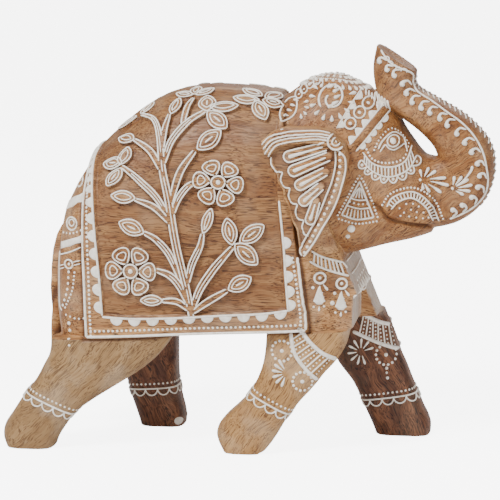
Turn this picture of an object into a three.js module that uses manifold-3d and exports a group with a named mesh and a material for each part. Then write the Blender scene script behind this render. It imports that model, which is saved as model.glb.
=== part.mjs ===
// Carved wooden elephant with a raised trunk and a blanket, glued up from blocks of wood.
// Millimetres. +X is towards the head, +Y the elephant's left and +Z up, with the soles at Z 0.
// The points below are measured from under the middle of the body, and the finished group is then
// moved along X, so that its origin is under the middle of the outside sizes.
import * as THREE from "three";
import { mergeVertices } from "three/addons/utils/BufferGeometryUtils.js";
import Module from "manifold-3d";

const wasm = await Module();
wasm.setup();

// ---- Driving dimensions ----------------------------------------------------------------------
const bodyHalfWidth = 43;
const headHalfWidth = 35;
const trunkHalfWidth = 16;

const blanketThickness = 3;
const blanketRear = -87.5;
const blanketFrontHem = 33.5;
const blanketFrontTop = 19;
const hemAboveJoint = 0.6;
const hemSlope = 0.055;

const bellyGlueLine = 109;
const backGlueLine = 165;
const legJointHeight = 66.7;
const legJointSlope = 0.05;
const neckTop = [17, 191];
const chestFoot = [70.4, 64];
const chestSplitHeight = 88;
const shoulderFront = 57.5;
const chestSplitSide = 3;

const legThickness = 25;
const foreLegInset = 3;
const hindLegFlare = 0.5;

const earStandOff = 2.5;
const earDepth = 22.5;
const earBevel = 1.5;
const tailHalfWidth = 5;

const legDowelRadius = 5;
const legDowelReach = 15;
const neckDowelRadius = 5;
const neckDowelReach = 16;
const neckDowelPlaces = [0.32, 0.52];
const tailPegRadius = 2.5;
const tailPegHeight = 104;
const tailPegRoot = -96;
const tailPegEnd = -110.7;

const glueGap = 0.3;
const holeClearance = 0.3;
const faraway = 400;

const foreLegOuter = bodyHalfWidth - foreLegInset;
const hindLegOuter = bodyHalfWidth + hindLegFlare;
const earOuter = bodyHalfWidth + blanketThickness + earStandOff;

// ---- Outlines --------------------------------------------------------------------------------
// Body, from the rump to the chest: [x, top, bottom, share of the body's half width].
const bodyStations = [
  [-108, 106, 72, 0.35],
  [-106.5, 119, 62, 0.6],
  [-103.5, 129, 56, 0.76],
  [-97, 143, 52, 0.88],
  [-88, 157, 50, 0.95],
  [-76, 169, 50, 0.985],
  [-60, 182.5, 51, 1],
  [-42, 191.5, 55, 1],
  [-20, 194.8, 58, 1],
  [4, 193.5, 57, 1],
  [20, 190.5, 53, 0.97],
  [36, 187, 51, 0.9],
  [48, 182, 52, 0.8],
  [56, 178, 52, 0.74],
  [76, 170, 52, 0.7],
];

// Head, from inside the neck to the mouth: [x, top, bottom, share of the head's half width].
const headStations = [
  [8, 186, 96, 0.98],
  [21, 194.5, 100, 1],
  [30, 201, 103, 1],
  [44, 204, 106, 0.98],
  [56, 199.8, 108, 0.95],
  [66, 194.5, 110.6, 0.9],
  [72.5, 188, 112.5, 0.86],
  [78.3, 182, 113.8, 0.8],
  [86.2, 169.5, 115.6, 0.72],
  [92.6, 161.5, 117.5, 0.65],
  [98, 157, 119.5, 0.58],
];

// Trunk, from inside the head to its tip: [x, z, half height of the section, share of half width].
const trunkStations = [
  [82, 141, 18, 1.1],
  [97.8, 141, 19.3, 1.08],
  [109.8, 146, 18.4, 1.04],
  [115.6, 158.8, 15.6, 1],
  [109.3, 171, 12.6, 0.96],
  [96, 182.1, 9.9, 0.92],
  [84.2, 189.7, 9, 0.89],
  [76.6, 197, 10.3, 0.87],
  [76.4, 206.3, 11.6, 0.87],
  [79.5, 218, 13, 0.87],
];
const trunkTipRear = [65, 221.5];
const trunkTipFront = [89, 205.5];
const trunkTipHollowRadius = 23;
const trunkTipHollowDepth = 2.8;

// Legs, from above the joint to the sole: [z, rear edge, front edge].
const rightHindLeg = [
  [74, -107, -34],
  [62, -107.5, -41.5],
  [54, -107.8, -47.5],
  [46.5, -111.5, -55.5],
  [38, -115.8, -68],
  [31, -121.5, -79],
  [25, -125.5, -88],
  [18, -130, -96.5],
  [11, -134.4, -101],
  [6.5, -134.9, -104.5],
  [0, -132.5, -107],
];
const leftHindLeg = [
  [74, -104, -47],
  [62, -101, -48.2],
  [48, -90, -48.5],
  [34, -79.5, -48.6],
  [25, -76.8, -48.2],
  [14, -73.7, -46.3],
  [6.5, -71, -44.4],
  [2.5, -69.8, -44.1],
  [0, -69, -44.6],
];
const rightForeLeg = [
  [80, 11, 57],
  [63, 10.5, 54.4],
  [53, 9.6, 49.3],
  [44, 7.2, 41.2],
  [37.4, 4.2, 36.6],
  [31.8, 0.6, 31.2],
  [27.5, -3, 27.8],
  [21.2, -10.1, 22.8],
  [15.6, -15, 19.4],
  [11.9, -17.1, 17.4],
  [8.8, -16.8, 15.5],
  [3.7, -14.8, 12],
  [0, -12.6, 9],
];
const leftForeLeg = [
  [80, 28, 65],
  [63, 33, 72],
  [52, 38, 76.6],
  [46.7, 40.6, 78],
  [38.6, 44.6, 81.8],
  [31.2, 51, 84.6],
  [22.5, 55.6, 88.4],
  [13, 59.7, 92.2],
  [6.1, 63, 95.8],
  [0, 65.4, 95.3],
];

// Ear, seen from its own side: fold along the top, lobes down the rear, tip at the bottom.
const earOutline = [
  [9.6, 172.4],
  [14.5, 176.7],
  [20.7, 178.8],
  [37, 179.3],
  [47.2, 177.2],
  [53.7, 170.4],
  [55.4, 163.5],
  [53.4, 149.2],
  [48.6, 136.7],
  [39.6, 119.6],
  [33.1, 109.8],
  [30.6, 112.6],
  [28.6, 125.5],
  [26, 130],
  [24.2, 137.6],
  [21.6, 142.6],
  [21.4, 146],
  [18.4, 150.6],
  [18, 155],
  [14.9, 159.8],
  [14.8, 163.6],
  [11.2, 165],
];
const tailOutline = [
  [-104, 122],
  [-107.6, 118.6],
  [-110.7, 112.9],
  [-112.9, 104.4],
  [-114, 94.3],
  [-114.2, 75.6],
  [-114, 61.4],
  [-114.6, 48.4],
  [-109.6, 48.8],
  [-108.6, 60],
  [-108.9, 74],
  [-104, 90],
];

// ---- Materials -------------------------------------------------------------------------------
const wood = (color) => new THREE.MeshStandardMaterial({ color, roughness: 0.62, metalness: 0 });
const bodyWood = wood(0xa87a4c);
const headWood = wood(0xb07a48);
const lightLegWood = wood(0xb48c5e);
const greyLegWood = wood(0xa58257);
const darkLegWood = wood(0x6b3f22);
const dowelWood = wood(0xcaa777);

// ---- Geometry helpers ------------------------------------------------------------------------
function toSolid(geometry) {
  geometry.deleteAttribute("normal");
  geometry.deleteAttribute("uv");
  const merged = mergeVertices(geometry, 1e-4);
  return new wasm.Manifold(new wasm.Mesh({
    numProp: 3,
    vertProperties: new Float32Array(merged.attributes.position.array),
    triVerts: new Uint32Array(merged.index.array),
  }));
}

// The row at a key between the stations, on curves that pass through every station and don't
// overshoot between them. The first number of each station is its key.
function rowAt(stations, key) {
  let i = 0;
  while (i < stations.length - 2 && stations[i + 1][0] < key) i += 1;
  const step = stations[i + 1][0] - stations[i][0];
  const t = (key - stations[i][0]) / step;
  const slope = (a, column) => {
    if (a < 0 || a > stations.length - 2) return null;
    const run = stations[a + 1][0] - stations[a][0];
    return (stations[a + 1][column] - stations[a][column]) / run;
  };
  const tangent = (a, column) => {
    const before = slope(a - 1, column) ?? slope(a, column);
    const after = slope(a, column) ?? slope(a - 1, column);
    return before * after <= 0 ? 0 : (2 * before * after) / (before + after);
  };
  return stations[i].map((from, column) => {
    if (column === 0) return key;
    const to = stations[i + 1][column];
    const bend = t * (1 - t);
    const start = tangent(i, column) * step - (to - from);
    const end = (to - from) - tangent(i + 1, column) * step;
    return from + (to - from) * t + bend * (start * (1 - t) + end * t);
  });
}

// A point on a unit rounded square: squareness 2 gives a circle, and more gives squarer corners.
function roundedSquare(angle, squareness) {
  const c = Math.cos(angle);
  const s = Math.sin(angle);
  const reach = (Math.abs(c) ** squareness + Math.abs(s) ** squareness) ** (-1 / squareness);
  return [c * reach, s * reach];
}

// A closed solid through sections: place(along 0-1, angle, reach 0-1) gives each vertex's [x, y, z].
function loft(sides, steps, place) {
  const geometry = new THREE.CylinderGeometry(1, 1, 1, sides, steps);
  const vertices = geometry.attributes.position;
  for (let i = 0; i < vertices.count; i += 1) {
    const side = Math.round((Math.atan2(vertices.getX(i), vertices.getZ(i)) * sides) / (2 * Math.PI));
    const angle = (((side + sides) % sides) * 2 * Math.PI) / sides;
    const reach = Math.hypot(vertices.getX(i), vertices.getZ(i)) > 0.5 ? 1 : 0;
    vertices.setXYZ(i, ...place(0.5 - vertices.getY(i), angle, reach));
  }
  return toSolid(geometry);
}

// A loft along X, grown outwards by a margin, whose sections can be rounder above than below.
function loftAlongX(stations, halfWidth, squareTop, squareBottom, grow, steps) {
  const start = stations[0][0];
  const end = stations[stations.length - 1][0];
  return loft(40, steps, (along, angle, reach) => {
    const x = THREE.MathUtils.lerp(start - grow, end + grow, along);
    const [, top, bottom, share] = rowAt(stations, THREE.MathUtils.clamp(x, start, end));
    const [across, up] = roundedSquare(angle, Math.sin(angle) > 0 ? squareTop : squareBottom);
    const halfHeight = (top - bottom) / 2 + grow;
    return [x, -across * reach * (share * halfWidth + grow), (top + bottom) / 2 + up * reach * halfHeight];
  });
}

// A flat outline of [x, z] points, extruded across Y from one side to the other.
function prism(points, yFrom, yTo, bevel = 0) {
  const shape = new THREE.Shape(points.map(([x, z]) => new THREE.Vector2(x, z)));
  const geometry = new THREE.ExtrudeGeometry(shape, {
    depth: yTo - yFrom - 2 * bevel,
    bevelEnabled: bevel > 0,
    bevelThickness: bevel,
    bevelSize: bevel,
    bevelOffset: -bevel,
    bevelSegments: 1,
  });
  geometry.rotateX(Math.PI / 2);
  geometry.translate(0, yTo - bevel, 0);
  return toSolid(geometry);
}

// Everything on the left of the line from a to b in the XZ plane, shrunk from it by a margin.
function leftOf(a, b, margin = 0) {
  const along = new THREE.Vector2(b[0] - a[0], b[1] - a[1]).normalize();
  const left = new THREE.Vector2(-along.y, along.x);
  const corner = (run, rise) => [
    a[0] + along.x * run + left.x * rise,
    a[1] + along.y * run + left.y * rise,
  ];
  const corners = [
    corner(-faraway, margin),
    corner(faraway, margin),
    corner(faraway, faraway),
    corner(-faraway, faraway),
  ];
  return prism(corners, -faraway, faraway);
}

function bar(from, to, radius) {
  const start = new THREE.Vector3(...from);
  const end = new THREE.Vector3(...to);
  const geometry = new THREE.CylinderGeometry(radius, radius, start.distanceTo(end), 20);
  const direction = end.clone().sub(start).normalize();
  const turn = new THREE.Quaternion().setFromUnitVectors(new THREE.Vector3(0, 1, 0), direction);
  geometry.applyQuaternion(turn);
  geometry.translate(...start.add(end).multiplyScalar(0.5).toArray());
  return toSolid(geometry);
}

// ---- Carved shapes ---------------------------------------------------------------------------
const shapeOfBody = (grow) => loftAlongX(bodyStations, bodyHalfWidth, 2.5, 6, grow, 30);
const shapeOfHead = (grow) => loftAlongX(headStations, headHalfWidth, 2.4, 3.4, grow, 24);

function shapeOfBlanket(grow) {
  const hemAt = (x) => legJointHeight + hemAboveJoint + hemSlope * x - grow;
  const window = prism([
    [blanketRear - grow, hemAt(blanketRear)],
    [blanketFrontHem + grow, hemAt(blanketFrontHem)],
    [blanketFrontTop + grow, neckTop[1]],
    [blanketFrontTop + grow, faraway],
    [blanketRear - grow, faraway],
  ], -faraway, faraway);
  return shapeOfBody(blanketThickness + grow).intersect(window);
}

// What is taken off above the right foreleg, which stands further back than the left one.
function chestStep() {
  return prism([
    [shoulderFront, -faraway],
    [faraway, -faraway],
    [faraway, chestSplitHeight],
    [shoulderFront, chestSplitHeight],
  ], -faraway, chestSplitSide);
}

function shapeOfTrunk() {
  const rows = trunkStations.map((row, index) => [index, ...row]);
  const last = rows.length - 1;
  const nudge = 0.05;
  const tube = loft(28, 32, (along, angle, reach) => {
    const key = along * last;
    const [, x, z, halfHeight, share] = rowAt(rows, key);
    const before = rowAt(rows, Math.max(key - nudge, 0));
    const after = rowAt(rows, Math.min(key + nudge, last));
    const heading = new THREE.Vector2(after[1] - before[1], after[2] - before[2]).normalize();
    const [across, up] = roundedSquare(angle, 3.2);
    const rise = up * halfHeight * reach;
    return [x - heading.y * rise, -across * share * trunkHalfWidth * reach, z + heading.x * rise];
  });
  return tube.intersect(leftOf(trunkTipFront, trunkTipRear)).subtract(trunkTipHollow());
}

function trunkTipHollow() {
  const rear = new THREE.Vector2(...trunkTipRear);
  const front = new THREE.Vector2(...trunkTipFront);
  const outwards = front.clone().sub(rear).rotateAround(new THREE.Vector2(), Math.PI / 2);
  outwards.setLength(trunkTipHollowRadius - trunkTipHollowDepth);
  const centre = rear.add(front).multiplyScalar(0.5).add(outwards);
  const ball = new THREE.SphereGeometry(trunkTipHollowRadius, 32, 20);
  ball.translate(centre.x, 0, centre.y);
  return toSolid(ball);
}

function shapeOfLeg(stations, side, outer) {
  const rows = stations.map(([z, rear, front]) => [-z, rear, front]);
  const first = rows[0][0];
  const middle = side * (outer - legThickness / 2);
  return loft(24, 16, (along, angle, reach) => {
    const key = first * (1 - along);
    const [, rear, front] = rowAt(rows, key);
    const [forward, across] = roundedSquare(angle, 4);
    const x = (front + rear) / 2 + (forward * reach * (front - rear)) / 2;
    return [x, middle + (across * reach * legThickness) / 2, -key];
  });
}

function shapeOfEar(side) {
  const slab = prism(earOutline, earOuter - earDepth, earOuter, earBevel);
  return side > 0 ? slab : slab.mirror([0, 1, 0]);
}

// ---- Glued blocks ----------------------------------------------------------------------------
const half = glueGap / 2;
const bodyWithBlanket = shapeOfBody(0).add(shapeOfBlanket(0)).subtract(chestStep());
const behindNeck = leftOf(chestFoot, neckTop, half);
const aheadOfNeck = leftOf(neckTop, chestFoot, half);
const jointAt = (x) => [x, legJointHeight + legJointSlope * x];
const aboveLegJoint = leftOf(jointAt(-100), jointAt(100), half);
const belowLegJoint = leftOf(jointAt(100), jointAt(-100), half);
const below = (z) => leftOf([100, z], [-100, z], half);
const above = (z) => leftOf([-100, z], [100, z], half);

const body = bodyWithBlanket.intersect(behindNeck).intersect(aboveLegJoint);
const headAndTrunk = shapeOfHead(0).add(shapeOfTrunk()).intersect(aheadOfNeck);

function legBlock(stations, side, outer) {
  return shapeOfLeg(stations, side, outer).intersect(belowLegJoint);
}

// A dowel across a joint, and the hole that it sits in.
function dowel(from, to, radius) {
  const start = new THREE.Vector3(...from);
  const end = new THREE.Vector3(...to);
  const extra = end.clone().sub(start).setLength(holeClearance);
  const holeStart = start.clone().sub(extra).toArray();
  const holeEnd = end.clone().add(extra).toArray();
  return { pin: bar(from, to, radius), hole: bar(holeStart, holeEnd, radius + holeClearance) };
}

function legDowel(x, side, outer) {
  const middle = side * (outer - legThickness / 2);
  const joint = jointAt(x)[1];
  return dowel([x, middle, joint - legDowelReach], [x, middle, joint + legDowelReach], legDowelRadius);
}

function neckDowel(share) {
  const x = THREE.MathUtils.lerp(neckTop[0], chestFoot[0], share);
  const z = THREE.MathUtils.lerp(neckTop[1], chestFoot[1], share);
  const along = new THREE.Vector2(neckTop[1] - chestFoot[1], chestFoot[0] - neckTop[0]);
  along.setLength(neckDowelReach);
  return dowel([x - along.x, 0, z - along.y], [x + along.x, 0, z + along.y], neckDowelRadius);
}

const dowels = {
  right_fore: legDowel(32, -1, foreLegOuter),
  left_fore: legDowel(52, 1, foreLegOuter),
  right_hind: legDowel(-78, -1, hindLegOuter),
  left_hind: legDowel(-76, 1, hindLegOuter),
  neck_upper: neckDowel(neckDowelPlaces[0]),
  neck_lower: neckDowel(neckDowelPlaces[1]),
  tail: dowel([tailPegRoot, 0, tailPegHeight], [tailPegEnd, 0, tailPegHeight], tailPegRadius),
};

const drill = (block, ...names) => names.reduce((left, name) => left.subtract(dowels[name].hole), block);
const aroundEars = shapeOfBody(glueGap).add(shapeOfBlanket(glueGap)).add(shapeOfHead(glueGap));
const ear = (side) => shapeOfEar(side).subtract(aroundEars);
const tailBlock = prism(tailOutline, -tailHalfWidth, tailHalfWidth, 1).subtract(shapeOfBody(glueGap));

const blocks = [
  ["back_board", body.intersect(above(backGlueLine)), bodyWood],
  ["flank_board", drill(body.intersect(above(bellyGlueLine)).intersect(below(backGlueLine)),
    "neck_upper", "neck_lower"), bodyWood],
  ["belly_board", drill(body.intersect(below(bellyGlueLine)),
    "right_fore", "left_fore", "right_hind", "left_hind", "tail"), bodyWood],
  ["head_block", drill(headAndTrunk, "neck_upper", "neck_lower"), headWood],
  ["right_ear", ear(-1), bodyWood],
  ["left_ear", ear(1), bodyWood],
  ["tail", drill(tailBlock, "tail"), bodyWood],
  ["right_fore_leg", drill(legBlock(rightForeLeg, -1, foreLegOuter), "right_fore"), lightLegWood],
  ["left_fore_leg", drill(legBlock(leftForeLeg, 1, foreLegOuter), "left_fore"), darkLegWood],
  ["right_hind_leg", drill(legBlock(rightHindLeg, -1, hindLegOuter), "right_hind"), greyLegWood],
  ["left_hind_leg", drill(legBlock(leftHindLeg, 1, hindLegOuter), "left_hind"), darkLegWood],
  ["right_fore_dowel", dowels.right_fore.pin, dowelWood],
  ["left_fore_dowel", dowels.left_fore.pin, dowelWood],
  ["right_hind_dowel", dowels.right_hind.pin, dowelWood],
  ["left_hind_dowel", dowels.left_hind.pin, dowelWood],
  ["neck_dowel_upper", dowels.neck_upper.pin, dowelWood],
  ["neck_dowel_lower", dowels.neck_lower.pin, dowelWood],
  ["tail_peg", dowels.tail.pin, dowelWood],
];

function toMesh([name, solid, material]) {
  const { vertProperties, triVerts } = solid.getMesh();
  const geometry = new THREE.BufferGeometry();
  geometry.setAttribute("position", new THREE.BufferAttribute(vertProperties, 3));
  geometry.setIndex(new THREE.BufferAttribute(triVerts, 1));
  geometry.computeVertexNormals();
  const mesh = new THREE.Mesh(geometry, material);
  mesh.name = name;
  return mesh;
}

const group = new THREE.Group();
group.add(...blocks.map(toMesh));
group.position.x = -new THREE.Box3().setFromObject(group).getCenter(new THREE.Vector3()).x;

export default group;
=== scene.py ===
import math

import bmesh
import bpy
import numpy as np
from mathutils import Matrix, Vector
from mathutils.bvhtree import BVHTree


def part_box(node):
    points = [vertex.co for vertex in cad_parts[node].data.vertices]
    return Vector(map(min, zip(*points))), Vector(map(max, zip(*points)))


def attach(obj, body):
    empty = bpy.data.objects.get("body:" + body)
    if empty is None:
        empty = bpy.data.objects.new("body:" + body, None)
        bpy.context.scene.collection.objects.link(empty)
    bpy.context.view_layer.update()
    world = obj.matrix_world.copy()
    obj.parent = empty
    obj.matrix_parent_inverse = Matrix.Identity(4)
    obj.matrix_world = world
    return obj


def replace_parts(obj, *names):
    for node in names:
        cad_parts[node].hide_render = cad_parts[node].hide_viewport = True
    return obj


# Carved wooden elephant. The wood is sculpted from the CAD blocks and cut apart again on the same
# joints, and the white paint is laid on it as raised beads. Lengths are in millimetres, as a carver
# would mark them out, until a mesh is made. x runs towards the head and z up, and the right side
# is at negative y.
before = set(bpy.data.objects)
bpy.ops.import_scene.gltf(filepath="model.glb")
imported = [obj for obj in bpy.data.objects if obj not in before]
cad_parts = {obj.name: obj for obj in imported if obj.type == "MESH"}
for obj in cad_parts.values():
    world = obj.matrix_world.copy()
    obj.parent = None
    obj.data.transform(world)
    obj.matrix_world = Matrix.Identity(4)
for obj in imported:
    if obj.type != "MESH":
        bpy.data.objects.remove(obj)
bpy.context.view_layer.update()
MM = 0.001

SIDES = (-1, 1)
# Size of the even faces that each sculpt is made of.
BODY_FACE, EAR_FACE, TAIL_FACE = 0.7, 0.55, 0.5
# How far the blocks are swollen so that glued faces run into each other.
GLUE_SWELL = 0.22
BODY_BLOCKS = ("back_board", "flank_board", "belly_board")
LEG_BLOCKS = ("right_fore_leg", "left_fore_leg", "right_hind_leg", "left_hind_leg")

# ---- Joints between the blocks ---------------------------------------------------------------
belly_glue_line = (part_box("belly_board")[1].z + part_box("flank_board")[0].z) / 2 / MM
back_glue_line = (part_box("flank_board")[1].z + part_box("back_board")[0].z) / 2 / MM
# Joints as lines in x and z, and half the hairline gap that each leaves.
LEG_JOINT = ((0.0, 66.1), (100.0, 71.1))
NECK_JOINT = ((19.5, 191.0), (72.9, 64.0))
HAIRLINE = 0.03

# ---- The blanket's flat pattern --------------------------------------------------------------
# A place on the blanket is (u, v): u runs along the body, and v is the height on the flat side and
# goes on over the back, where it grows with the turn.
BODY_AXIS_HEIGHT = 122.0
FLAT_SIDE = 46.0
TURN_START = math.radians(38)


def v_from_turn(turn):
    """v from the angle about the body's axis, 0 straight out to the side."""
    flat = BODY_AXIS_HEIGHT + FLAT_SIDE * np.tan(np.minimum(turn, TURN_START))
    return flat + np.maximum(turn - TURN_START, 0) * FLAT_SIDE / math.cos(TURN_START) ** 2


def turn_from_v(v):
    start = BODY_AXIS_HEIGHT + FLAT_SIDE * math.tan(TURN_START)
    flat = np.arctan((np.minimum(v, start) - BODY_AXIS_HEIGHT) / FLAT_SIDE)
    return flat + np.maximum(v - start, 0) * math.cos(TURN_START) ** 2 / FLAT_SIDE


# The sunk panel's edges: (v, u) for the rear and the front, (u, v) for the foot.
PANEL_DEPTH = 1.9
PANEL_REAR = ((75, -74.5), (96, -76), (127, -79), (152, -81), (180, -82), (226, -82))
PANEL_FRONT = ((79, 25), (99, 23.5), (116, 22.5), (141, 20), (165, 19), (226, 19))
PANEL_FOOT = ((-76, 75), (-50, 75), (-28, 76), (-5, 78), (26, 80))
# The carving fades out over the back: where it starts, over how much, and how far it goes.
FADE_START, FADE_RUN, FADE = 202, 12, 0.85

# The blanket's own edges, as (v, u).
BLANKET_FRONT = ((62, 35.8), (69, 35.4), (191, 20.9), (226, 20.9))
BLANKET_REAR = ((62, -85.7), (140, -87.8), (196, -85.6), (226, -85.6))


def hem_height(x):
    """z of the blanket's lower edge."""
    return 67.2 + 0.055 * x


def along_line(line, keys):
    """The second value at a first value, between a line's points."""
    return np.interp(keys, [p[0] for p in line], [p[1] for p in line])


def inside_panel(u, v):
    """How far a place is inside the blanket's sunk panel."""
    rear = u - along_line(PANEL_REAR, v)
    front = along_line(PANEL_FRONT, v) - u
    foot = v - along_line(PANEL_FOOT, u)
    return np.minimum(np.minimum(rear, front), foot)


# Stems: (points, half width at the foot, half width at the tip).
STEM_SWELL = 0.9
STEMS = (
    ([(-26.5, 76), (-28.5, 90), (-34, 113), (-36.5, 127), (-38.5, 140), (-42, 157), (-44.5, 177),
      (-48.5, 190), (-57, 200)], 1.9, 1.2),
    ([(-36.5, 131), (-33, 141), (-27, 148.5), (-20, 150)], 1.2, 1.3),
    ([(-28, 83), (-32.5, 93), (-38, 99), (-46, 102)], 1.4, 1.4),
    ([(-27, 79), (-34, 84.5), (-43, 85)], 1.2, 1.3),
    ([(-26, 78), (-18, 84.5), (-7, 91.5)], 1.3, 1.5),
    ([(-26.5, 78), (-22, 91), (-15, 102), (-8, 110.5), (-4, 115)], 1.5, 1.6),
    ([(-29, 92), (-26, 105), (-21.5, 115), (-20, 122)], 1.2, 1.4),
    ([(-32.5, 97), (-38, 110), (-45, 118), (-52, 122)], 1.2, 1.4),
    ([(-36.5, 126), (-46, 135.5), (-57, 140)], 1.2, 1.2),
    ([(-37.5, 129), (-45, 141), (-54, 150.5), (-65, 162.3)], 1.3, 1.4),
    ([(-41, 153), (-48.5, 169), (-59, 180)], 1.2, 1.2),
    ([(-43, 164), (-42.5, 180), (-40.5, 192)], 1.0, 1.2),
    ([(-42, 160), (-38, 175), (-30, 185.5), (-21, 192)], 1.3, 1.4),
    ([(-37.5, 137), (-32.5, 156), (-25, 169)], 1.3, 1.5),
    ([(-33, 182), (-31, 196), (-28.5, 202)], 0.9, 1.1),
)

# Leaves and buds: (centre, length, width, heading in degrees).
LEAVES = (
    ((-48, 85), 13, 6.5, 180),
    ((0, 95.5), 15, 9, 30),
    ((-5.5, 123.5), 15.5, 8.5, 102),
    ((6.5, 122.5), 17, 9.2, 37),
    ((3.5, 111.5), 17, 10, -42),
    ((-17.5, 129), 15, 6, 72),
    ((-58.7, 124.5), 15.5, 9, 158),
    ((-63.5, 141.5), 14.5, 8, 172),
    ((-63.8, 169.8), 13.5, 8, 74),
    ((-70.4, 166.6), 12.5, 10, 160),
    ((-69, 155), 15, 8.5, 238),
    ((-64, 184), 13, 7, 140),
    ((-66, 205), 14, 7.5, 150),
    ((-55, 207), 13, 7.5, 70),
    ((-38, 198), 13, 6.5, 75),
    ((-20.5, 197.5), 12, 10, 95),
    ((-11, 195.5), 16, 7.5, 8),
    ((-14, 187), 15.5, 9.5, -40),
    ((-17.5, 175.5), 17, 10, 42),
    ((-34.5, 208), 12, 6.5, 150),
    ((-23, 208), 12, 6.5, 35),
    ((-28.5, 211), 12, 7, 90),
    ((2.5, 209.5), 14, 8, 150),
    ((0, 202), 15, 8, 178),
    ((8.5, 195), 15, 9, -62),
    ((14, 209.5), 14, 8, 55),
    ((14.5, 202), 12, 8.5, 0),
)

# Flowers: (centre, reach of the petals, heading of the first petal).
FLOWERS = (((-11.8, 150.3), 14, 53), ((-59.4, 100.7), 14, 60))
PETALS = 6
FLOWER_EYE = 4.4


def flower_petals(flower):
    """A flower's petals, in the form of LEAVES."""
    (u, v), reach, first = flower
    turns = [math.radians(first + 360 * k / PETALS) for k in range(PETALS)]
    middle, length, width = reach * 0.65, reach * 0.71, reach * 0.73
    return [((u + middle * math.cos(a), v + middle * math.sin(a)), length, width, math.degrees(a))
            for a in turns]


def leaf_half_width(share, width, round_tip):
    """Half width at a share (-1 to 1) of the way along a leaf. A petal is widest near its round tip."""
    if round_tip:
        return width / 2 * np.sqrt(np.maximum(1 - share**2, 0)) * (1 + 0.42 * share) / 1.08
    return width / 2 * np.maximum(1 - share**2, 0) ** 0.85


def inside_leaf(u, v, leaf, round_tip=False):
    """How far a place is inside a leaf or a petal."""
    (cu, cv), length, width, heading = leaf
    a = math.radians(heading)
    along = (u - cu) * math.cos(a) + (v - cv) * math.sin(a)
    across = -(u - cu) * math.sin(a) + (v - cv) * math.cos(a)
    share = along / (length / 2)
    inside = leaf_half_width(share, width, round_tip) - np.abs(across)
    return np.where(np.abs(share) < 1, inside, -1)


def nearest_on_line(u, v, points):
    """Distance to a line through points, and how far along it (0 to 1) the nearest place is."""
    points = np.asarray(points, float)
    lengths = np.hypot(*np.diff(points, axis=0).T)
    total = lengths.sum()
    best, share, run = np.full(np.shape(u), 1e9), np.zeros(np.shape(u)), 0.0
    for (au, av), (bu, bv), length in zip(points[:-1], points[1:], lengths):
        t = np.clip(((u - au) * (bu - au) + (v - av) * (bv - av)) / length**2, 0, 1)
        d = np.hypot(u - au - t * (bu - au), v - av - t * (bv - av))
        share = np.where(d < best, (run + t * length) / total, share)
        best = np.minimum(d, best)
        run += length
    return best, share


def stem_half_width(share, foot, tip):
    """Half width at a share of the way up a stem: fullest a little above its foot."""
    return foot + (tip - foot) * share + STEM_SWELL * np.sin(np.pi * np.clip(share, 0, 1)) ** 0.8


def inside_stem(u, v, stem):
    points, foot, tip = stem
    distance, share = nearest_on_line(u, v, flowing(points))
    return stem_half_width(share, foot, tip) - distance


def flowing(points, step=1.0):
    """A smooth line through the points, as points a step apart."""
    points = np.asarray(points, float)
    if len(points) == 2:
        count = max(2, int(math.dist(*points) / step) + 1)
        return points[0] + (points[1] - points[0]) * np.linspace(0, 1, count)[:, None]
    padded = np.vstack([2 * points[0] - points[1], points, 2 * points[-1] - points[-2]])
    line = []
    for a, b, c, d in zip(padded[:-3], padded[1:-2], padded[2:-1], padded[3:]):
        count = max(1, int(math.dist(b, c) / step))
        t = (np.arange(count) / count)[:, None]
        line.append(0.5 * (2 * b + (c - a) * t + (2 * a - 5 * b + 4 * c - d) * t**2
                           + (3 * b - a - 3 * c + d) * t**3))
    return np.vstack([*line, points[-1:]])


def ease(x):
    """0 below 0, 1 above 1 and smooth between."""
    x = np.clip(x, 0, 1)
    return x * x * (3 - 2 * x)


def blanket_relief(u, v):
    """Height of the carving on the blanket, and how dark it is: stain, and painted shade in its recesses."""
    panel = inside_panel(u, v)
    motif = np.full(u.shape, -9.0)
    for stem in STEMS:
        motif = np.maximum(motif, inside_stem(u, v, stem))
    for leaf in LEAVES:
        motif = np.maximum(motif, inside_leaf(u, v, leaf))
    for flower in FLOWERS:
        (cu, cv), _, _ = flower
        petals = np.max([inside_leaf(u, v, petal, True) for petal in flower_petals(flower)], axis=0)
        eye = FLOWER_EYE - np.hypot(u - cu, v - cv)
        motif = np.maximum(motif, np.where(np.abs(eye) < 0.5, -0.3, np.maximum(petals, eye)))
    sunk = -PANEL_DEPTH * ease((panel + 0.3) / 1.0)
    raised = (PANEL_DEPTH + 0.15) * ease((motif + 0.25) / 0.9) + 0.3 * ease(motif / 3)
    fade = 1 - FADE * ease((v - FADE_START) / FADE_RUN)
    height = np.where(panel > -0.5, sunk + raised * ease(panel / 0.6), 0) * fade
    # Painted shade: dark just outside each raised motif and just inside the panel's edge, where the sunk
    # ground lies in shade. The motifs' own faces are a little darker in colour, and the blanket outside the
    # panel has an even tone.
    beside = np.exp(-np.maximum(-motif - 0.3, 0) ** 2 / 1.6) * (motif < 0.3)
    edge = np.exp(-np.maximum(panel, 0) ** 2 / 1.5)
    worn = 0.3 * ease((motif - 0.2) / 0.5)
    stain_and_shade = np.where(panel > 0, np.maximum(0.78 * np.maximum(beside, edge), worn), 0.24)
    return height, stain_and_shade


# ---- Sculpting -------------------------------------------------------------------------------
def cad_copy(names, swell):
    """One mesh of several CAD nodes, swollen a little, so that glued blocks run into each other."""
    joined = bmesh.new()
    for name in names:
        part = bmesh.new()
        part.from_mesh(bpy.data.objects[name].data)
        bmesh.ops.remove_doubles(part, verts=part.verts, dist=0.01 * MM)
        part.normal_update()
        for vert in part.verts:
            vert.co += vert.normal * swell * MM
        mesh = bpy.data.meshes.new("part")
        part.to_mesh(mesh)
        part.free()
        joined.from_mesh(mesh)
        bpy.data.meshes.remove(mesh)
    mesh = bpy.data.meshes.new("copy")
    joined.to_mesh(mesh)
    joined.free()
    return mesh


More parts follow.
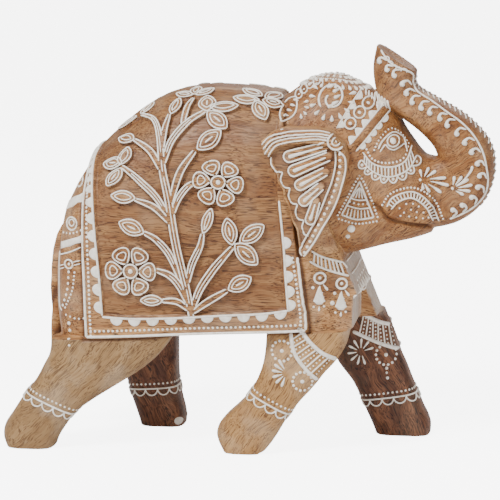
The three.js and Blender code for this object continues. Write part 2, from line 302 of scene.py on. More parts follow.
def evaluated(obj):
    """The object's mesh with its modifiers applied, and the object gone."""
    graph = bpy.context.evaluated_depsgraph_get()
    mesh = bpy.data.meshes.new_from_object(obj.evaluated_get(graph))
    bpy.data.objects.remove(obj)
    return mesh


def even_skin(mesh, size):
    """The same solid with small even faces."""
    obj = bpy.data.objects.new("skin", mesh)
    bpy.context.scene.collection.objects.link(obj)
    remesh = obj.modifiers.new("even", "REMESH")
    remesh.mode = "VOXEL"
    remesh.voxel_size = size * MM
    return evaluated(obj)


def read_points(mesh):
    points = np.empty(len(mesh.vertices) * 3, np.float32)
    mesh.vertices.foreach_get("co", points)
    return points.reshape(-1, 3).astype(float) / MM


def write_points(mesh, points):
    mesh.vertices.foreach_set("co", (points * MM).astype(np.float32).ravel())
    mesh.update()


def read_normals(mesh):
    normals = np.empty(len(mesh.vertices) * 3, np.float32)
    mesh.vertex_normals.foreach_get("vector", normals)
    return normals.reshape(-1, 3).astype(float)


def read_edges(mesh):
    edges = np.empty(len(mesh.edges) * 2, np.int32)
    mesh.edges.foreach_get("vertices", edges)
    return edges.reshape(-1, 2)


def spread(values, edges, rounds):
    """Averages a value over neighbours, several times."""
    count = np.bincount(edges.ravel(), minlength=len(values))
    for _ in range(rounds):
        total = np.bincount(edges[:, 0], values[edges[:, 1]], len(values))
        total += np.bincount(edges[:, 1], values[edges[:, 0]], len(values))
        values = total / np.maximum(count, 1)
    return values


def relax(mesh, rounds, keep_angle):
    """Smooths away the flat facets of a solid, and keeps its real edges fairly sharp."""
    points, edges = read_points(mesh), read_edges(mesh)
    normals = read_normals(mesh)
    bent = (normals[edges[:, 0]] * normals[edges[:, 1]]).sum(1) < math.cos(math.radians(keep_angle))
    sharp = np.bincount(edges[bent].ravel(), minlength=len(points)) > 0
    weight = 1 - 0.93 * ease(spread(sharp.astype(float), edges, 3) * 3)
    for _ in range(rounds):
        mean = np.stack([spread(points[:, axis], edges, 1) for axis in range(3)], 1)
        points += (mean - points) * (0.6 * weight)[:, None]
    write_points(mesh, points)


def write_attribute(mesh, name, kind, values):
    key = "vector" if kind == "FLOAT_VECTOR" else "value"
    mesh.attributes.new(name, kind, "POINT").data.foreach_set(key, np.asarray(values, np.float32).ravel())


# Carving on the head: (x, z) as seen from the side.
HEADBAND_RIDGE = [(76.5, 189.5), (70, 182), (62.5, 173.5), (58, 168)]
HEADBAND_RISE = 1.1
MOUTH_LINE = [(70.5, 137.5), (74, 134.5), (77.5, 129.5), (83, 127), (91, 125.2), (99, 124)]
MOUTH_DEPTH = 2.8
EYE = (79.5, 171.0)
EYE_RISE, EYE_SOCKET_DEPTH = 0.9, 0.5
GROOVE_DEPTH = 0.8


def blanket_groove(x, y, z, v):
    """The groove just outside the blanket's edges, 0 to 1."""
    beyond = np.maximum(along_line(BLANKET_REAR, v) - x, x - along_line(BLANKET_FRONT, v))
    beyond = np.maximum(beyond, hem_height(x) - z)
    return np.exp(-((beyond - 1.0) / 0.9) ** 2) * (beyond > -0.2) * (np.abs(y) > 20)


def head_relief(x, z):
    """Carving on the sides of the head, and the mouth's cut, which also sets the painted shade in it."""
    ridge, _ = nearest_on_line(x, z, flowing(HEADBAND_RIDGE))
    height = HEADBAND_RISE * ease((2.2 - ridge) / 1.2)
    mouth, share = nearest_on_line(x, z, flowing(MOUTH_LINE))
    cut = ease((1.7 - mouth) / 1.6) * (0.55 + 0.45 * share)
    height -= MOUTH_DEPTH * cut
    eye = np.hypot(x - EYE[0], z - EYE[1])
    height += EYE_RISE * ease((4.2 - eye) / 3) - EYE_SOCKET_DEPTH * np.exp(-((eye - 5.5) / 1.5) ** 2)
    return height, cut


def body_relief(points, normals):
    """Carving on the fused body, head and legs, as heights along the normal, and darkness: stain and painted
    shade.
    """
    x, y, z = points.T
    v = v_from_turn(np.arctan2(z - BODY_AXIS_HEIGHT, np.abs(y)))
    height, stain_and_shade = blanket_relief(x, v)
    on_blanket = (z > 70) & (x < 30) & (normals[:, 2] > -0.5)
    height, stain_and_shade = (np.where(on_blanket, value, 0) for value in (height, stain_and_shade))
    groove = blanket_groove(x, y, z, v)
    carving, cut = head_relief(x, z)
    on_head = (x > 40) & (z > 105) & (np.abs(y) > 4)
    height += np.where(on_head, carving, 0) - GROOVE_DEPTH * groove
    trunk = 0.2 * ease((x - 96) / 14) + 0.2 * ease((z - 192) / 8) * ease((x - 66) / 6)
    chest = ease((x - 35) / 2) * ease((60 - x) / 6) * ease((105 - z) / 8) * ease((z - 78) / 14)
    # Darkness: real tone on the trunk's end and the chest's sides, and painted shade in the groove round the
    # blanket and in the mouth's cut.
    for other in (groove, trunk, np.where(on_head, cut, 0), 0.42 * chest * (np.abs(y) > 12)):
        stain_and_shade = np.maximum(stain_and_shade, other)
    return height, stain_and_shade


def chalk_on_chest(points, normals):
    """How much white wash is rubbed into the chest's flat front."""
    x, _, z = points.T
    facing = ease((normals[:, 0] - 0.55) / 0.25)
    return facing * ease((x - 50) / 4) * ease((108 - z) / 4) * ease((z - 66) / 8)


def sculpt_body(size):
    """The fused body, head and legs, carved, and the same before the carving."""
    mesh = even_skin(cad_copy((*BODY_BLOCKS, "head_block", *LEG_BLOCKS), GLUE_SWELL), size)
    relax(mesh, 26, 24)
    points, normals, edges = read_points(mesh), read_normals(mesh), read_edges(mesh)
    normals = np.stack([spread(normals[:, axis], edges, 4) for axis in range(3)], 1)
    normals /= np.linalg.norm(normals, axis=1)[:, None]
    height, stain_and_shade = body_relief(points, normals)
    plain = mesh.copy()
    write_points(plain, points)
    write_points(mesh, points + normals * height[:, None])
    write_attribute(mesh, "stain_and_shade", "FLOAT", stain_and_shade)
    write_attribute(mesh, "chalk", "FLOAT", chalk_on_chest(points, normals))
    return mesh, plain


# ---- Cutting the sculpt into its blocks ------------------------------------------------------
def facing_up(line, margin):
    """A cutting plane through a line in x and z, moved up by a margin, and its upward normal."""
    (ax, az), (bx, bz) = line
    normal = Vector((az - bz, 0, bx - ax)).normalized()
    return (Vector((ax, 0, az)) + normal * margin) * MM, normal


def kept_half(bm, point, normal, largest=False):
    """A copy of the part of a solid that lies on the normal's side of a plane, closed again."""
    part = bm.copy()
    everything = [*part.verts, *part.edges, *part.faces]
    bmesh.ops.bisect_plane(part, geom=everything, plane_co=point, plane_no=normal, clear_inner=True)
    if largest:
        keep_largest(part)
    bmesh.ops.holes_fill(part, edges=[edge for edge in part.edges if edge.is_boundary])
    return part


def islands(bm):
    """The solid's separate pieces, as lists of vertices, largest first."""
    left, found = set(bm.verts), []
    while left:
        stack, island = [left.pop()], []
        while stack:
            vert = stack.pop()
            island.append(vert)
            for edge in vert.link_edges:
                other = edge.other_vert(vert)
                if other in left:
                    left.remove(other)
                    stack.append(other)
        found.append(island)
    return sorted(found, key=len, reverse=True)


def keep_largest(bm):
    """Removes all but the largest of a solid's separate pieces."""
    for island in islands(bm)[1:]:
        bmesh.ops.delete(bm, geom=island, context="VERTS")


def split(bm, line, largest=False):
    """The upper and the lower part of a solid, cut along a line in x and z."""
    point, normal = facing_up(line, HAIRLINE)
    upper = kept_half(bm, point, normal, largest)
    point, normal = facing_up(line, -HAIRLINE)
    return upper, kept_half(bm, point, -normal)


def cut_blocks(mesh):
    """The fused sculpt's blocks by name, each as a closed mesh."""
    bm = bmesh.new()
    bm.from_mesh(mesh)
    upper, legs = split(bm, LEG_JOINT)
    head, body = split(upper, NECK_JOINT, largest=True)
    back, lower = split(body, ((0, back_glue_line), (1, back_glue_line)))
    flank, belly = split(lower, ((0, belly_glue_line), (1, belly_glue_line)))
    blocks = {"head_block": head, "back_board": back, "flank_board": flank, "belly_board": belly}
    legs.verts.index_update()
    for island in islands(legs)[:len(LEG_BLOCKS)]:
        keep = {vert.index for vert in island}
        leg = legs.copy()
        bmesh.ops.delete(leg, geom=[v for i, v in enumerate(leg.verts) if i not in keep], context="VERTS")
        middle = sum((v.co for v in leg.verts), Vector()) / len(leg.verts)
        side = "right" if middle.y < 0 else "left"
        end = "fore" if middle.x > 0 else "hind"
        blocks[f"{side}_{end}_leg"] = leg
    return blocks


def add_object(name, mesh, material, slot):
    """Adds a mesh as a piece that rides with the figure."""
    obj = bpy.data.objects.new(name, mesh)
    bpy.context.scene.collection.objects.link(obj)
    mesh.materials.clear()
    mesh.materials.append(material)
    mesh.shade_smooth()
    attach(obj, "root")
    return obj


# ---- The ears --------------------------------------------------------------------------------
EAR_BAND_OUTER = [(51.5, 169), (56.5, 165), (57, 158), (55.5, 151), (53, 142.5), (49.5, 134.5), (45, 126),
                  (40.5, 118), (34.5, 109.5)]
EAR_BAND_INNER = [(49.5, 169.5), (51, 162), (49.3, 152), (46, 144), (42.5, 135), (38, 126), (32.5, 115)]
EAR_FOLD = [(12, 167), (17, 173), (24, 175.5), (32, 176.5), (41, 177), (48, 176)]
ROSETTE = (51.5, 173.0)
# The ear's five lobes: (foot, tip) of each, and its half width.
LOBES = (
    ((46, 170.5), (26.5, 164.5), 3.3),
    ((47.5, 165), (29, 157), 3.3),
    ((46, 157), (32.5, 149.5), 3.2),
    ((43.5, 149), (34.5, 141), 3.1),
    ((41, 141), (38, 131), 3.0),
)


def ear_relief(x, z):
    """Carving on the flat of an ear, and painted shade in its sunk flat."""
    band, _ = nearest_on_line(x, z, flowing(EAR_BAND_OUTER[1:]))
    inner, _ = nearest_on_line(x, z, flowing(EAR_BAND_INNER))
    fold, share = nearest_on_line(x, z, flowing(EAR_FOLD))
    rosette = np.hypot(x - ROSETTE[0], z - ROSETTE[1])
    rim = np.maximum(ease((4.6 - band) / 1.0), ease((5.4 - rosette) / 0.8))
    over = ease((5.2 + 0.5 * share - fold) / 0.9)
    raised = np.maximum(rim, over * 1.25)
    lobe = np.full(x.shape, -9.0)
    for foot, tip, half in LOBES:
        distance, share = nearest_on_line(x, z, [foot, tip])
        lobe = np.maximum(lobe, half * (0.75 + 0.25 * share) - distance)
    lobes = 0.75 * ease((lobe + 0.3) / 1.1)
    height = -2.0 + np.maximum(1.6 * lobes, 2.2 * raised)
    height += 0.35 * over * np.cos(fold * 2.6)
    # Painted shade: all over the sunk flat, darkest at the lobes' edges, and beside the band's inner edge.
    shade_between_lobes = np.maximum(0.62, np.exp(-(lobe / 1.3) ** 2))
    stain_and_shade = np.where(lobe < 0, shade_between_lobes, np.exp(-(lobe / 0.8) ** 2)) * (raised < 0.5)
    stain_and_shade = np.maximum(stain_and_shade, 0.9 * np.exp(-((inner - 0.2) / 1.0) ** 2) * (raised < 0.7))
    return height, stain_and_shade


def sculpt_ear(name, size):
    """An ear, carved on its outer face."""
    mesh = even_skin(cad_copy((name,), 0), size)
    relax(mesh, 8, 24)
    points, normals = read_points(mesh), read_normals(mesh)
    flat = ease((np.abs(normals[:, 1]) - 0.75) / 0.2) * (points[:, 1] * normals[:, 1] > 0)
    height, stain_and_shade = ear_relief(points[:, 0], points[:, 2])
    points[:, 1] += np.sign(points[:, 1]) * height * flat
    write_points(mesh, points)
    write_attribute(mesh, "stain_and_shade", "FLOAT", stain_and_shade * flat)
    return mesh


TUFT_DEPTH, TUFT_LOCKS = 0.5, 9


def sculpt_tail(size):
    """The tail, with locks of hair cut in its tuft."""
    mesh = even_skin(cad_copy(("tail",), 0), size)
    relax(mesh, 12, 40)
    points, normals = read_points(mesh), read_normals(mesh)
    x, y, z = points.T
    tuft = ease((92 - z) / 10)
    around = np.arctan2(y, -x - 100)
    height = TUFT_DEPTH * tuft * np.cos(TUFT_LOCKS * around + 0.25 * z)
    write_points(mesh, points + normals * height[:, None])
    # Painted shade in the grooves between the locks.
    write_attribute(mesh, "stain_and_shade", "FLOAT", ease(-height / TUFT_DEPTH))
    return mesh


# ---- Materials -------------------------------------------------------------------------------
def socket(group, name, kind, value=None, output=False):
    in_out = "OUTPUT" if output else "INPUT"
    made = group.interface.new_socket(name, in_out=in_out, socket_type="NodeSocket" + kind)
    if value is not None:
        made.default_value = value
    return made


class Tree:
    """A short way to add nodes and links to a shader tree."""

    def __init__(self, tree):
        self.tree = tree

    def add(self, kind, inputs=None, **settings):
        node = self.tree.nodes.new(kind if kind.startswith("NodeGroup") else "ShaderNode" + kind)
        for name, value in settings.items():
            setattr(node, name, value)
        for name, value in (inputs or {}).items():
            self.put(node.inputs[name], value)
        return node

    def put(self, target, value):
        if isinstance(value, bpy.types.NodeSocket):
            self.tree.links.new(value, target)
        else:
            target.default_value = value

    def math(self, operation, a, b=0.0, c=0.0):
        node = self.add("Math", {0: a, 1: b, 2: c}, operation=operation)
        return node.outputs[0]

    def spread(self, value, low, high, to_low=0.0, to_high=1.0):
        """A value from low..high brought to to_low..to_high, smoothly and held at the ends."""
        node = self.add("MapRange", {"Value": value, "From Min": low, "From Max": high, "To Min": to_low,
                                     "To Max": to_high}, interpolation_type="SMOOTHSTEP")
        return node.outputs["Result"]

    def blend(self, share, a, b):
        node = self.add("Mix", {0: share, 6: a, 7: b}, data_type="RGBA")
        return node.outputs[2]


def colour(red, green, blue):
    """A colour as seen on a screen, 0 to 255, as scene-linear values."""
    def linear(part):
        part /= 255
        return part / 12.92 if part < 0.04045 else ((part + 0.055) / 1.055) ** 2.4
    return (linear(red), linear(green), linear(blue), 1.0)


def wood_figure():
    """The figure of mango wood, with its grain along x: colour, roughness and surface height."""
    group = bpy.data.node_groups.new("wood figure", "ShaderNodeTree")
    socket(group, "Place", "Vector")
    socket(group, "Pale", "Color", colour(190, 155, 120))
    socket(group, "Deep", "Color", colour(150, 110, 75))
    socket(group, "Pore", "Color", colour(80, 48, 28))
    socket(group, "Waves", "Float", 1.5)
    socket(group, "Wash", "Float", 0.2)
    socket(group, "Stain And Shade", "Float", 0.0)
    socket(group, "Chalk", "Float", 0.0)
    for name, kind in (("Color", "Color"), ("Roughness", "Float"), ("Height", "Float")):
        socket(group, name, kind, output=True)
    t = Tree(group)
    given = t.add("NodeGroupInput").outputs
    place = t.add("VectorMath", {0: given["Place"], 3: 1000.0}, operation="SCALE").outputs[0]
    drift = t.add("TexNoise", {"Vector": place, "Scale": 0.035, "Detail": 2.0}).outputs["Color"]
    centred = t.add("VectorMath", {0: drift, 1: (0.5, 0.5, 0.5)}, operation="SUBTRACT").outputs[0]
    reach = t.math("MULTIPLY", given["Waves"], 12.0)
    moved = t.add("VectorMath", {0: centred, 3: reach}, operation="SCALE").outputs[0]
    grain = t.add("VectorMath", {0: place, 1: moved}, operation="ADD").outputs[0]

    def streaks(along, across, detail, rough=0.5):
        times = (along, across, across)
        stretched = t.add("VectorMath", {0: grain, 1: times}, operation="MULTIPLY").outputs[0]
        noise = {"Vector": stretched, "Scale": 1.0, "Detail": detail, "Roughness": rough}
        return t.add("TexNoise", noise).outputs[0]

    rings = streaks(0.012, 0.16, 3.0)
    fibres = streaks(0.03, 1.0, 4.0, 0.65)
    dashes = streaks(0.11, 2.3, 1.0)
    crowd = streaks(0.03, 0.3, 2.0)
    cloud = t.add("TexNoise", {"Vector": place, "Scale": 0.055, "Detail": 3.0}).outputs[0]
    ring_share = t.spread(rings, 0.34, 0.72, 0.0, 0.8)
    shade = t.blend(ring_share, given["Pale"], given["Deep"])
    fibre_share = t.spread(fibres, 0.4, 0.64, 0.0, 0.75)
    shade = t.blend(fibre_share, shade, given["Deep"])
    limit = t.spread(crowd, 0.35, 0.66, 0.625, 0.53)
    past = t.math("SUBTRACT", dashes, limit)
    pore = t.spread(past, -0.01, 0.05)
    shade = t.blend(t.math("MULTIPLY", pore, 0.88), shade, given["Pore"])
    wash = t.math("MULTIPLY", t.spread(cloud, 0.42, 0.7), given["Wash"])
    shade = t.blend(wash, shade, colour(226, 202, 170))
    # Darkens towards a deep brown by the stain input: real stain and tone, and painted shade in the carving's
    # recesses.
    shade = t.blend(t.math("MULTIPLY", given["Stain And Shade"], 0.88), shade, colour(80, 42, 20))
    upright = t.add("VectorMath", {0: given["Place"], 1: (900, 900, 70)}, operation="MULTIPLY").outputs[0]
    rub = t.add("TexNoise", {"Vector": upright, "Scale": 1.0, "Detail": 3.0}).outputs[0]
    chalk = t.math("MULTIPLY", given["Chalk"], t.spread(rub, 0.3, 0.62, 0.2, 0.85))
    shade = t.blend(chalk, shade, colour(196, 186, 176))
    out = t.add("NodeGroupOutput")
    t.put(out.inputs["Color"], shade)
    t.put(out.inputs["Roughness"], t.spread(fibres, 0.3, 0.7, 0.42, 0.58))
    dents = t.math("MULTIPLY", pore, -0.12)
    t.put(out.inputs["Height"], t.math("MULTIPLY_ADD", fibres, 0.12, dents))
    return group


def wood(name, figure, pale, deep, pore, turn=(0, 0, 0), offset=(0, 0, 0), waves=1.5, wash=0.2):
    """A wood. turn brings the grain, which runs along x, to its own direction, in degrees."""
    material = bpy.data.materials.new(name)
    material.use_nodes = True
    t = Tree(material.node_tree)
    shader = material.node_tree.nodes["Principled BSDF"]
    place = t.add("TexCoord").outputs["Object"]
    rotation = tuple(math.radians(a) for a in turn)
    mapped = t.add("Mapping", {"Vector": place, "Rotation": rotation, "Location": offset}).outputs[0]
    stain_and_shade = t.add("Attribute", attribute_name="stain_and_shade").outputs["Fac"]
    chalk = t.add("Attribute", attribute_name="chalk").outputs["Fac"]
    made = t.add("Group", node_tree=figure)
    for key, value in (("Place", mapped), ("Pale", pale), ("Deep", deep), ("Pore", pore), ("Waves", waves),
                       ("Wash", wash), ("Stain And Shade", stain_and_shade), ("Chalk", chalk)):
        t.put(made.inputs[key], value)
    t.put(shader.inputs["Base Color"], made.outputs["Color"])
    t.put(shader.inputs["Roughness"], made.outputs["Roughness"])
    t.put(shader.inputs["Specular IOR Level"], 0.35)
    bump = t.add("Bump", {"Height": made.outputs["Height"], "Distance": 1 * MM, "Strength": 0.8})
    t.put(shader.inputs["Normal"], bump.outputs[0])
    return material


def paint():
    """Matt off-white paint, a little uneven and thin in places."""
    material = bpy.data.materials.new("white paint")
    material.use_nodes = True
    t = Tree(material.node_tree)
    shader = material.node_tree.nodes["Principled BSDF"]
    place = t.add("TexCoord").outputs["Object"]
    patch = t.add("TexNoise", {"Vector": place, "Scale": 400.0, "Detail": 3.0}).outputs[0]
    shade = t.blend(t.spread(patch, 0.35, 0.7), colour(248, 243, 234), colour(232, 223, 208))
    t.put(shader.inputs["Base Color"], shade)
    t.put(shader.inputs["Roughness"], 0.62)
    t.put(shader.inputs["Specular IOR Level"], 0.3)
    fine = t.add("TexNoise", {"Vector": place, "Scale": 1500.0, "Detail": 2.0}).outputs[0]
    bump = t.add("Bump", {"Height": fine, "Distance": 0.2 * MM, "Strength": 0.4})
    t.put(shader.inputs["Normal"], bump.outputs[0])
    return material


FIGURE = wood_figure()
BODY_WOOD = wood("body wood", FIGURE, colour(200, 150, 96), colour(132, 82, 43), colour(48, 24, 10),
                 waves=0.6, wash=0.18)
HEAD_WOOD = wood("head wood", FIGURE, colour(176, 126, 76), colour(122, 70, 28), colour(60, 28, 10),
                 turn=(0, 35, 0), waves=1.8, wash=0.1)
LIGHT_LEG_WOOD = wood("light leg wood", FIGURE, colour(184, 142, 90), colour(150, 108, 62),
                      colour(96, 60, 32), turn=(0, 52, 0), offset=(0.3, 0, 0), waves=1.0)
GREY_LEG_WOOD = wood("grey leg wood", FIGURE, colour(160, 126, 84), colour(128, 96, 60), colour(86, 58, 34),
                     turn=(0, 45, 0), offset=(0.6, 0, 0), waves=1.0)
# The far legs: dark heartwood, and painted shade because they stand in the body's shadow on the far side.
DARK_AND_SHADED_LEG_WOOD = wood("dark and shaded leg wood", FIGURE, colour(138, 90, 60), colour(62, 29, 16), colour(26, 10, 5),
                     turn=(0, -65, 0), offset=(0.9, 0, 0), waves=1.2, wash=0.05)
DOWEL_WOOD = wood("dowel wood", FIGURE, colour(214, 184, 146), colour(186, 150, 110), colour(140, 104, 70),
                  turn=(0, 90, 0), wash=0)
PAINT = paint()

# Which wood each CAD node is made of, with its slot.
WOODS = {
    "back_board": (BODY_WOOD, "body_wood"),
    "flank_board": (BODY_WOOD, "body_wood"),
    "belly_board": (BODY_WOOD, "body_wood"),
    "head_block": (HEAD_WOOD, "head_wood"),
    "right_ear": (BODY_WOOD, "body_wood"),
    "left_ear": (BODY_WOOD, "body_wood"),
    "tail": (BODY_WOOD, "body_wood"),
    "right_fore_leg": (LIGHT_LEG_WOOD, "light_leg_wood"),
    "left_fore_leg": (DARK_AND_SHADED_LEG_WOOD, "dark_leg_wood"),
    "right_hind_leg": (GREY_LEG_WOOD, "grey_leg_wood"),
    "left_hind_leg": (DARK_AND_SHADED_LEG_WOOD, "dark_leg_wood"),
}


def build_wood():
    """Every wooden block, sculpted, in place of its CAD node. Returns the solids to paint on."""
    sculpt, plain = sculpt_body(BODY_FACE)
    for name, bm in cut_blocks(sculpt).items():
        mesh = bpy.data.meshes.new(name)
        bm.to_mesh(mesh)
        bm.free()
        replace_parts(add_object("carved_" + name, mesh, *WOODS[name]), name)
    skins = [sculpt, plain]
    for name in ("right_ear", "left_ear"):
        mesh = sculpt_ear(name, EAR_FACE)
        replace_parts(add_object("carved_" + name, mesh, *WOODS[name]), name)
        skins.append(mesh)
    mesh = sculpt_tail(TAIL_FACE)
    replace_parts(add_object("carved_tail", mesh, *WOODS["tail"]), "tail")
    skins.append(mesh)
    for name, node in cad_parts.items():
        if name.endswith(("dowel", "upper", "lower", "peg")):
            node.data.materials.clear()
            node.data.materials.append(DOWEL_WOOD)
    return skins


skins = build_wood()


# ---- Paint: beads, dots and filled shapes ----------------------------------------------------
def tree_of(meshes):
    """One ray tree of several meshes, in millimetres."""
    points, faces, count = [], [], 0
    for mesh in meshes:
        place = read_points(mesh)
        points.append(place)
        faces += [[v + count for v in polygon.vertices] for polygon in mesh.polygons]
        count += len(place)
    return BVHTree.FromPolygons(np.vstack(points).tolist(), faces)


def cast(tree, starts, directions):
    """Where rays meet the wood: places, normals and which rays do."""
    places, normals, met = [], [], []
    for start, direction in zip(starts, directions):
        place, normal, _, _ = tree.ray_cast(Vector(start), Vector(direction))
        met.append(place is not None)
        places.append(tuple(place) if place else (0, 0, 0))
        normals.append(tuple(normal) if place else (0, 0, 1))
    return np.array(places), np.array(normals), np.array(met, bool)


def from_side(tree, side, start=90.0):
    """Lays (x, z) on the outside, as seen from one side."""
    def lay(flat):
        starts = np.stack([flat[:, 0], np.full(len(flat), side * start), flat[:, 1]], 1)
        return cast(tree, starts, np.tile((0, -side, 0), (len(flat), 1)))
    return lay


def from_within(tree, side):
    """Lays (x, z) on the inner face of a leg of one side."""
    def lay(flat):
        starts = np.stack([flat[:, 0], np.zeros(len(flat)), flat[:, 1]], 1)
        return cast(tree, starts, np.tile((0, side, 0), (len(flat), 1)))
    return lay


def on_blanket(tree, side):
    """Lays (u, v) on the carved blanket of one side, from a tree of the body before the carving."""
    def lay(flat):
        turn = turn_from_v(flat[:, 1])
        out = np.stack([np.zeros(len(flat)), side * np.cos(turn), np.sin(turn)], 1)
        axis = np.stack([flat[:, 0], np.zeros(len(flat)), np.full(len(flat), BODY_AXIS_HEIGHT)], 1)
        place, normal, met = cast(tree, axis + out * 120, -out)
        height, _ = blanket_relief(flat[:, 0], flat[:, 1])
        met &= place[:, 2] > hem_height(place[:, 0]) + 0.8
        return place + normal * height[:, None], normal, met
    return lay


def from_above(tree):
    """Lays (x, y) on what faces up."""
    def lay(flat):
        starts = np.column_stack([flat, np.full(len(flat), 260.0)])
        return cast(tree, starts, np.tile((0, 0, -1), (len(flat), 1)))
    return lay


def along_body(tree, start, heading):
    """Lays (y, z) on what a ray along the body meets, from a place on it."""
    def lay(flat):
        starts = np.column_stack([np.full(len(flat), start), flat])
        return cast(tree, starts, np.tile((heading, 0, 0), (len(flat), 1)))
    return lay


def around_line(tree, line, reach=25.0):
    """Lays (distance along a line in x and z, y) on the face that the line's left side looks away from."""
    line = flowing(line)
    run = np.concatenate([[0], np.cumsum(np.hypot(*np.diff(line, axis=0).T))])
    heading = unit(np.gradient(line, axis=0))

    def lay(flat):
        x, z = (np.interp(flat[:, 0], run, line[:, axis]) for axis in (0, 1))
        hx, hz = (np.interp(flat[:, 0], run, heading[:, axis]) for axis in (0, 1))
        out = np.stack([-hz, np.zeros(len(flat)), hx], 1)
        return cast(tree, np.stack([x, flat[:, 1], z], 1) + out * reach, -out)
    return lay


def round_leg(tree, y, rear, front):
    """Lays (distance round a leg, distance up it) on the leg, and gives its girth."""
    rear, front = np.array(rear), np.array(front)
    forth, rise = unit((front - rear)[None])[0]
    centre = np.array([(rear[0] + front[0]) / 2, y, (rear[1] + front[1]) / 2])

    def outward(turn):
        return np.stack([-forth * np.cos(turn), np.sin(turn), -rise * np.cos(turn)], 1)

    turn = np.linspace(0, 2 * math.pi, 181)
    place, _, _ = cast(tree, np.tile(centre, (181, 1)), outward(turn))
    run = np.concatenate([[0], np.cumsum(np.linalg.norm(np.diff(place, axis=0), axis=1))])

    def lay(flat):
        angle = np.interp(np.mod(flat[:, 0], run[-1]), run, turn)
        up = np.outer(flat[:, 1], (-rise, 0, forth))
        return cast(tree, centre + up, outward(angle))
    return lay, run[-1]


def unit(vectors):
    return vectors / np.maximum(np.linalg.norm(vectors, axis=1), 1e-9)[:, None]


def beside(line, distance):
    """A line at a distance to the left of another."""
    heading = unit(np.gradient(line, axis=0))
    return line + np.stack([-heading[:, 1], heading[:, 0]], 1) * np.reshape(distance, (-1, 1))


def spaced(points, spacing):
    """Places evenly spaced along a smooth line, its ends among them."""
    line = flowing(points, 0.5)
    run = np.concatenate([[0], np.cumsum(np.hypot(*np.diff(line, axis=0).T))])
    stops = np.linspace(0, run[-1], max(2, round(run[-1] / spacing) + 1))
    return np.stack([np.interp(stops, run, line[:, axis]) for axis in (0, 1)], 1)


def arc(centre, radius, start, end):
    a = np.radians(np.linspace(start, end, max(6, int(abs(end - start) * radius / 40))))
    return np.stack([centre[0] + radius * np.cos(a), centre[1] + radius * np.sin(a)], 1)


# Paint lies at points this far apart, breaks off at a longer step, and stands this far off the wood.
LINE_STEP, LONGEST_STEP, BEAD_LIFT = 0.7, 3.2, 0.25


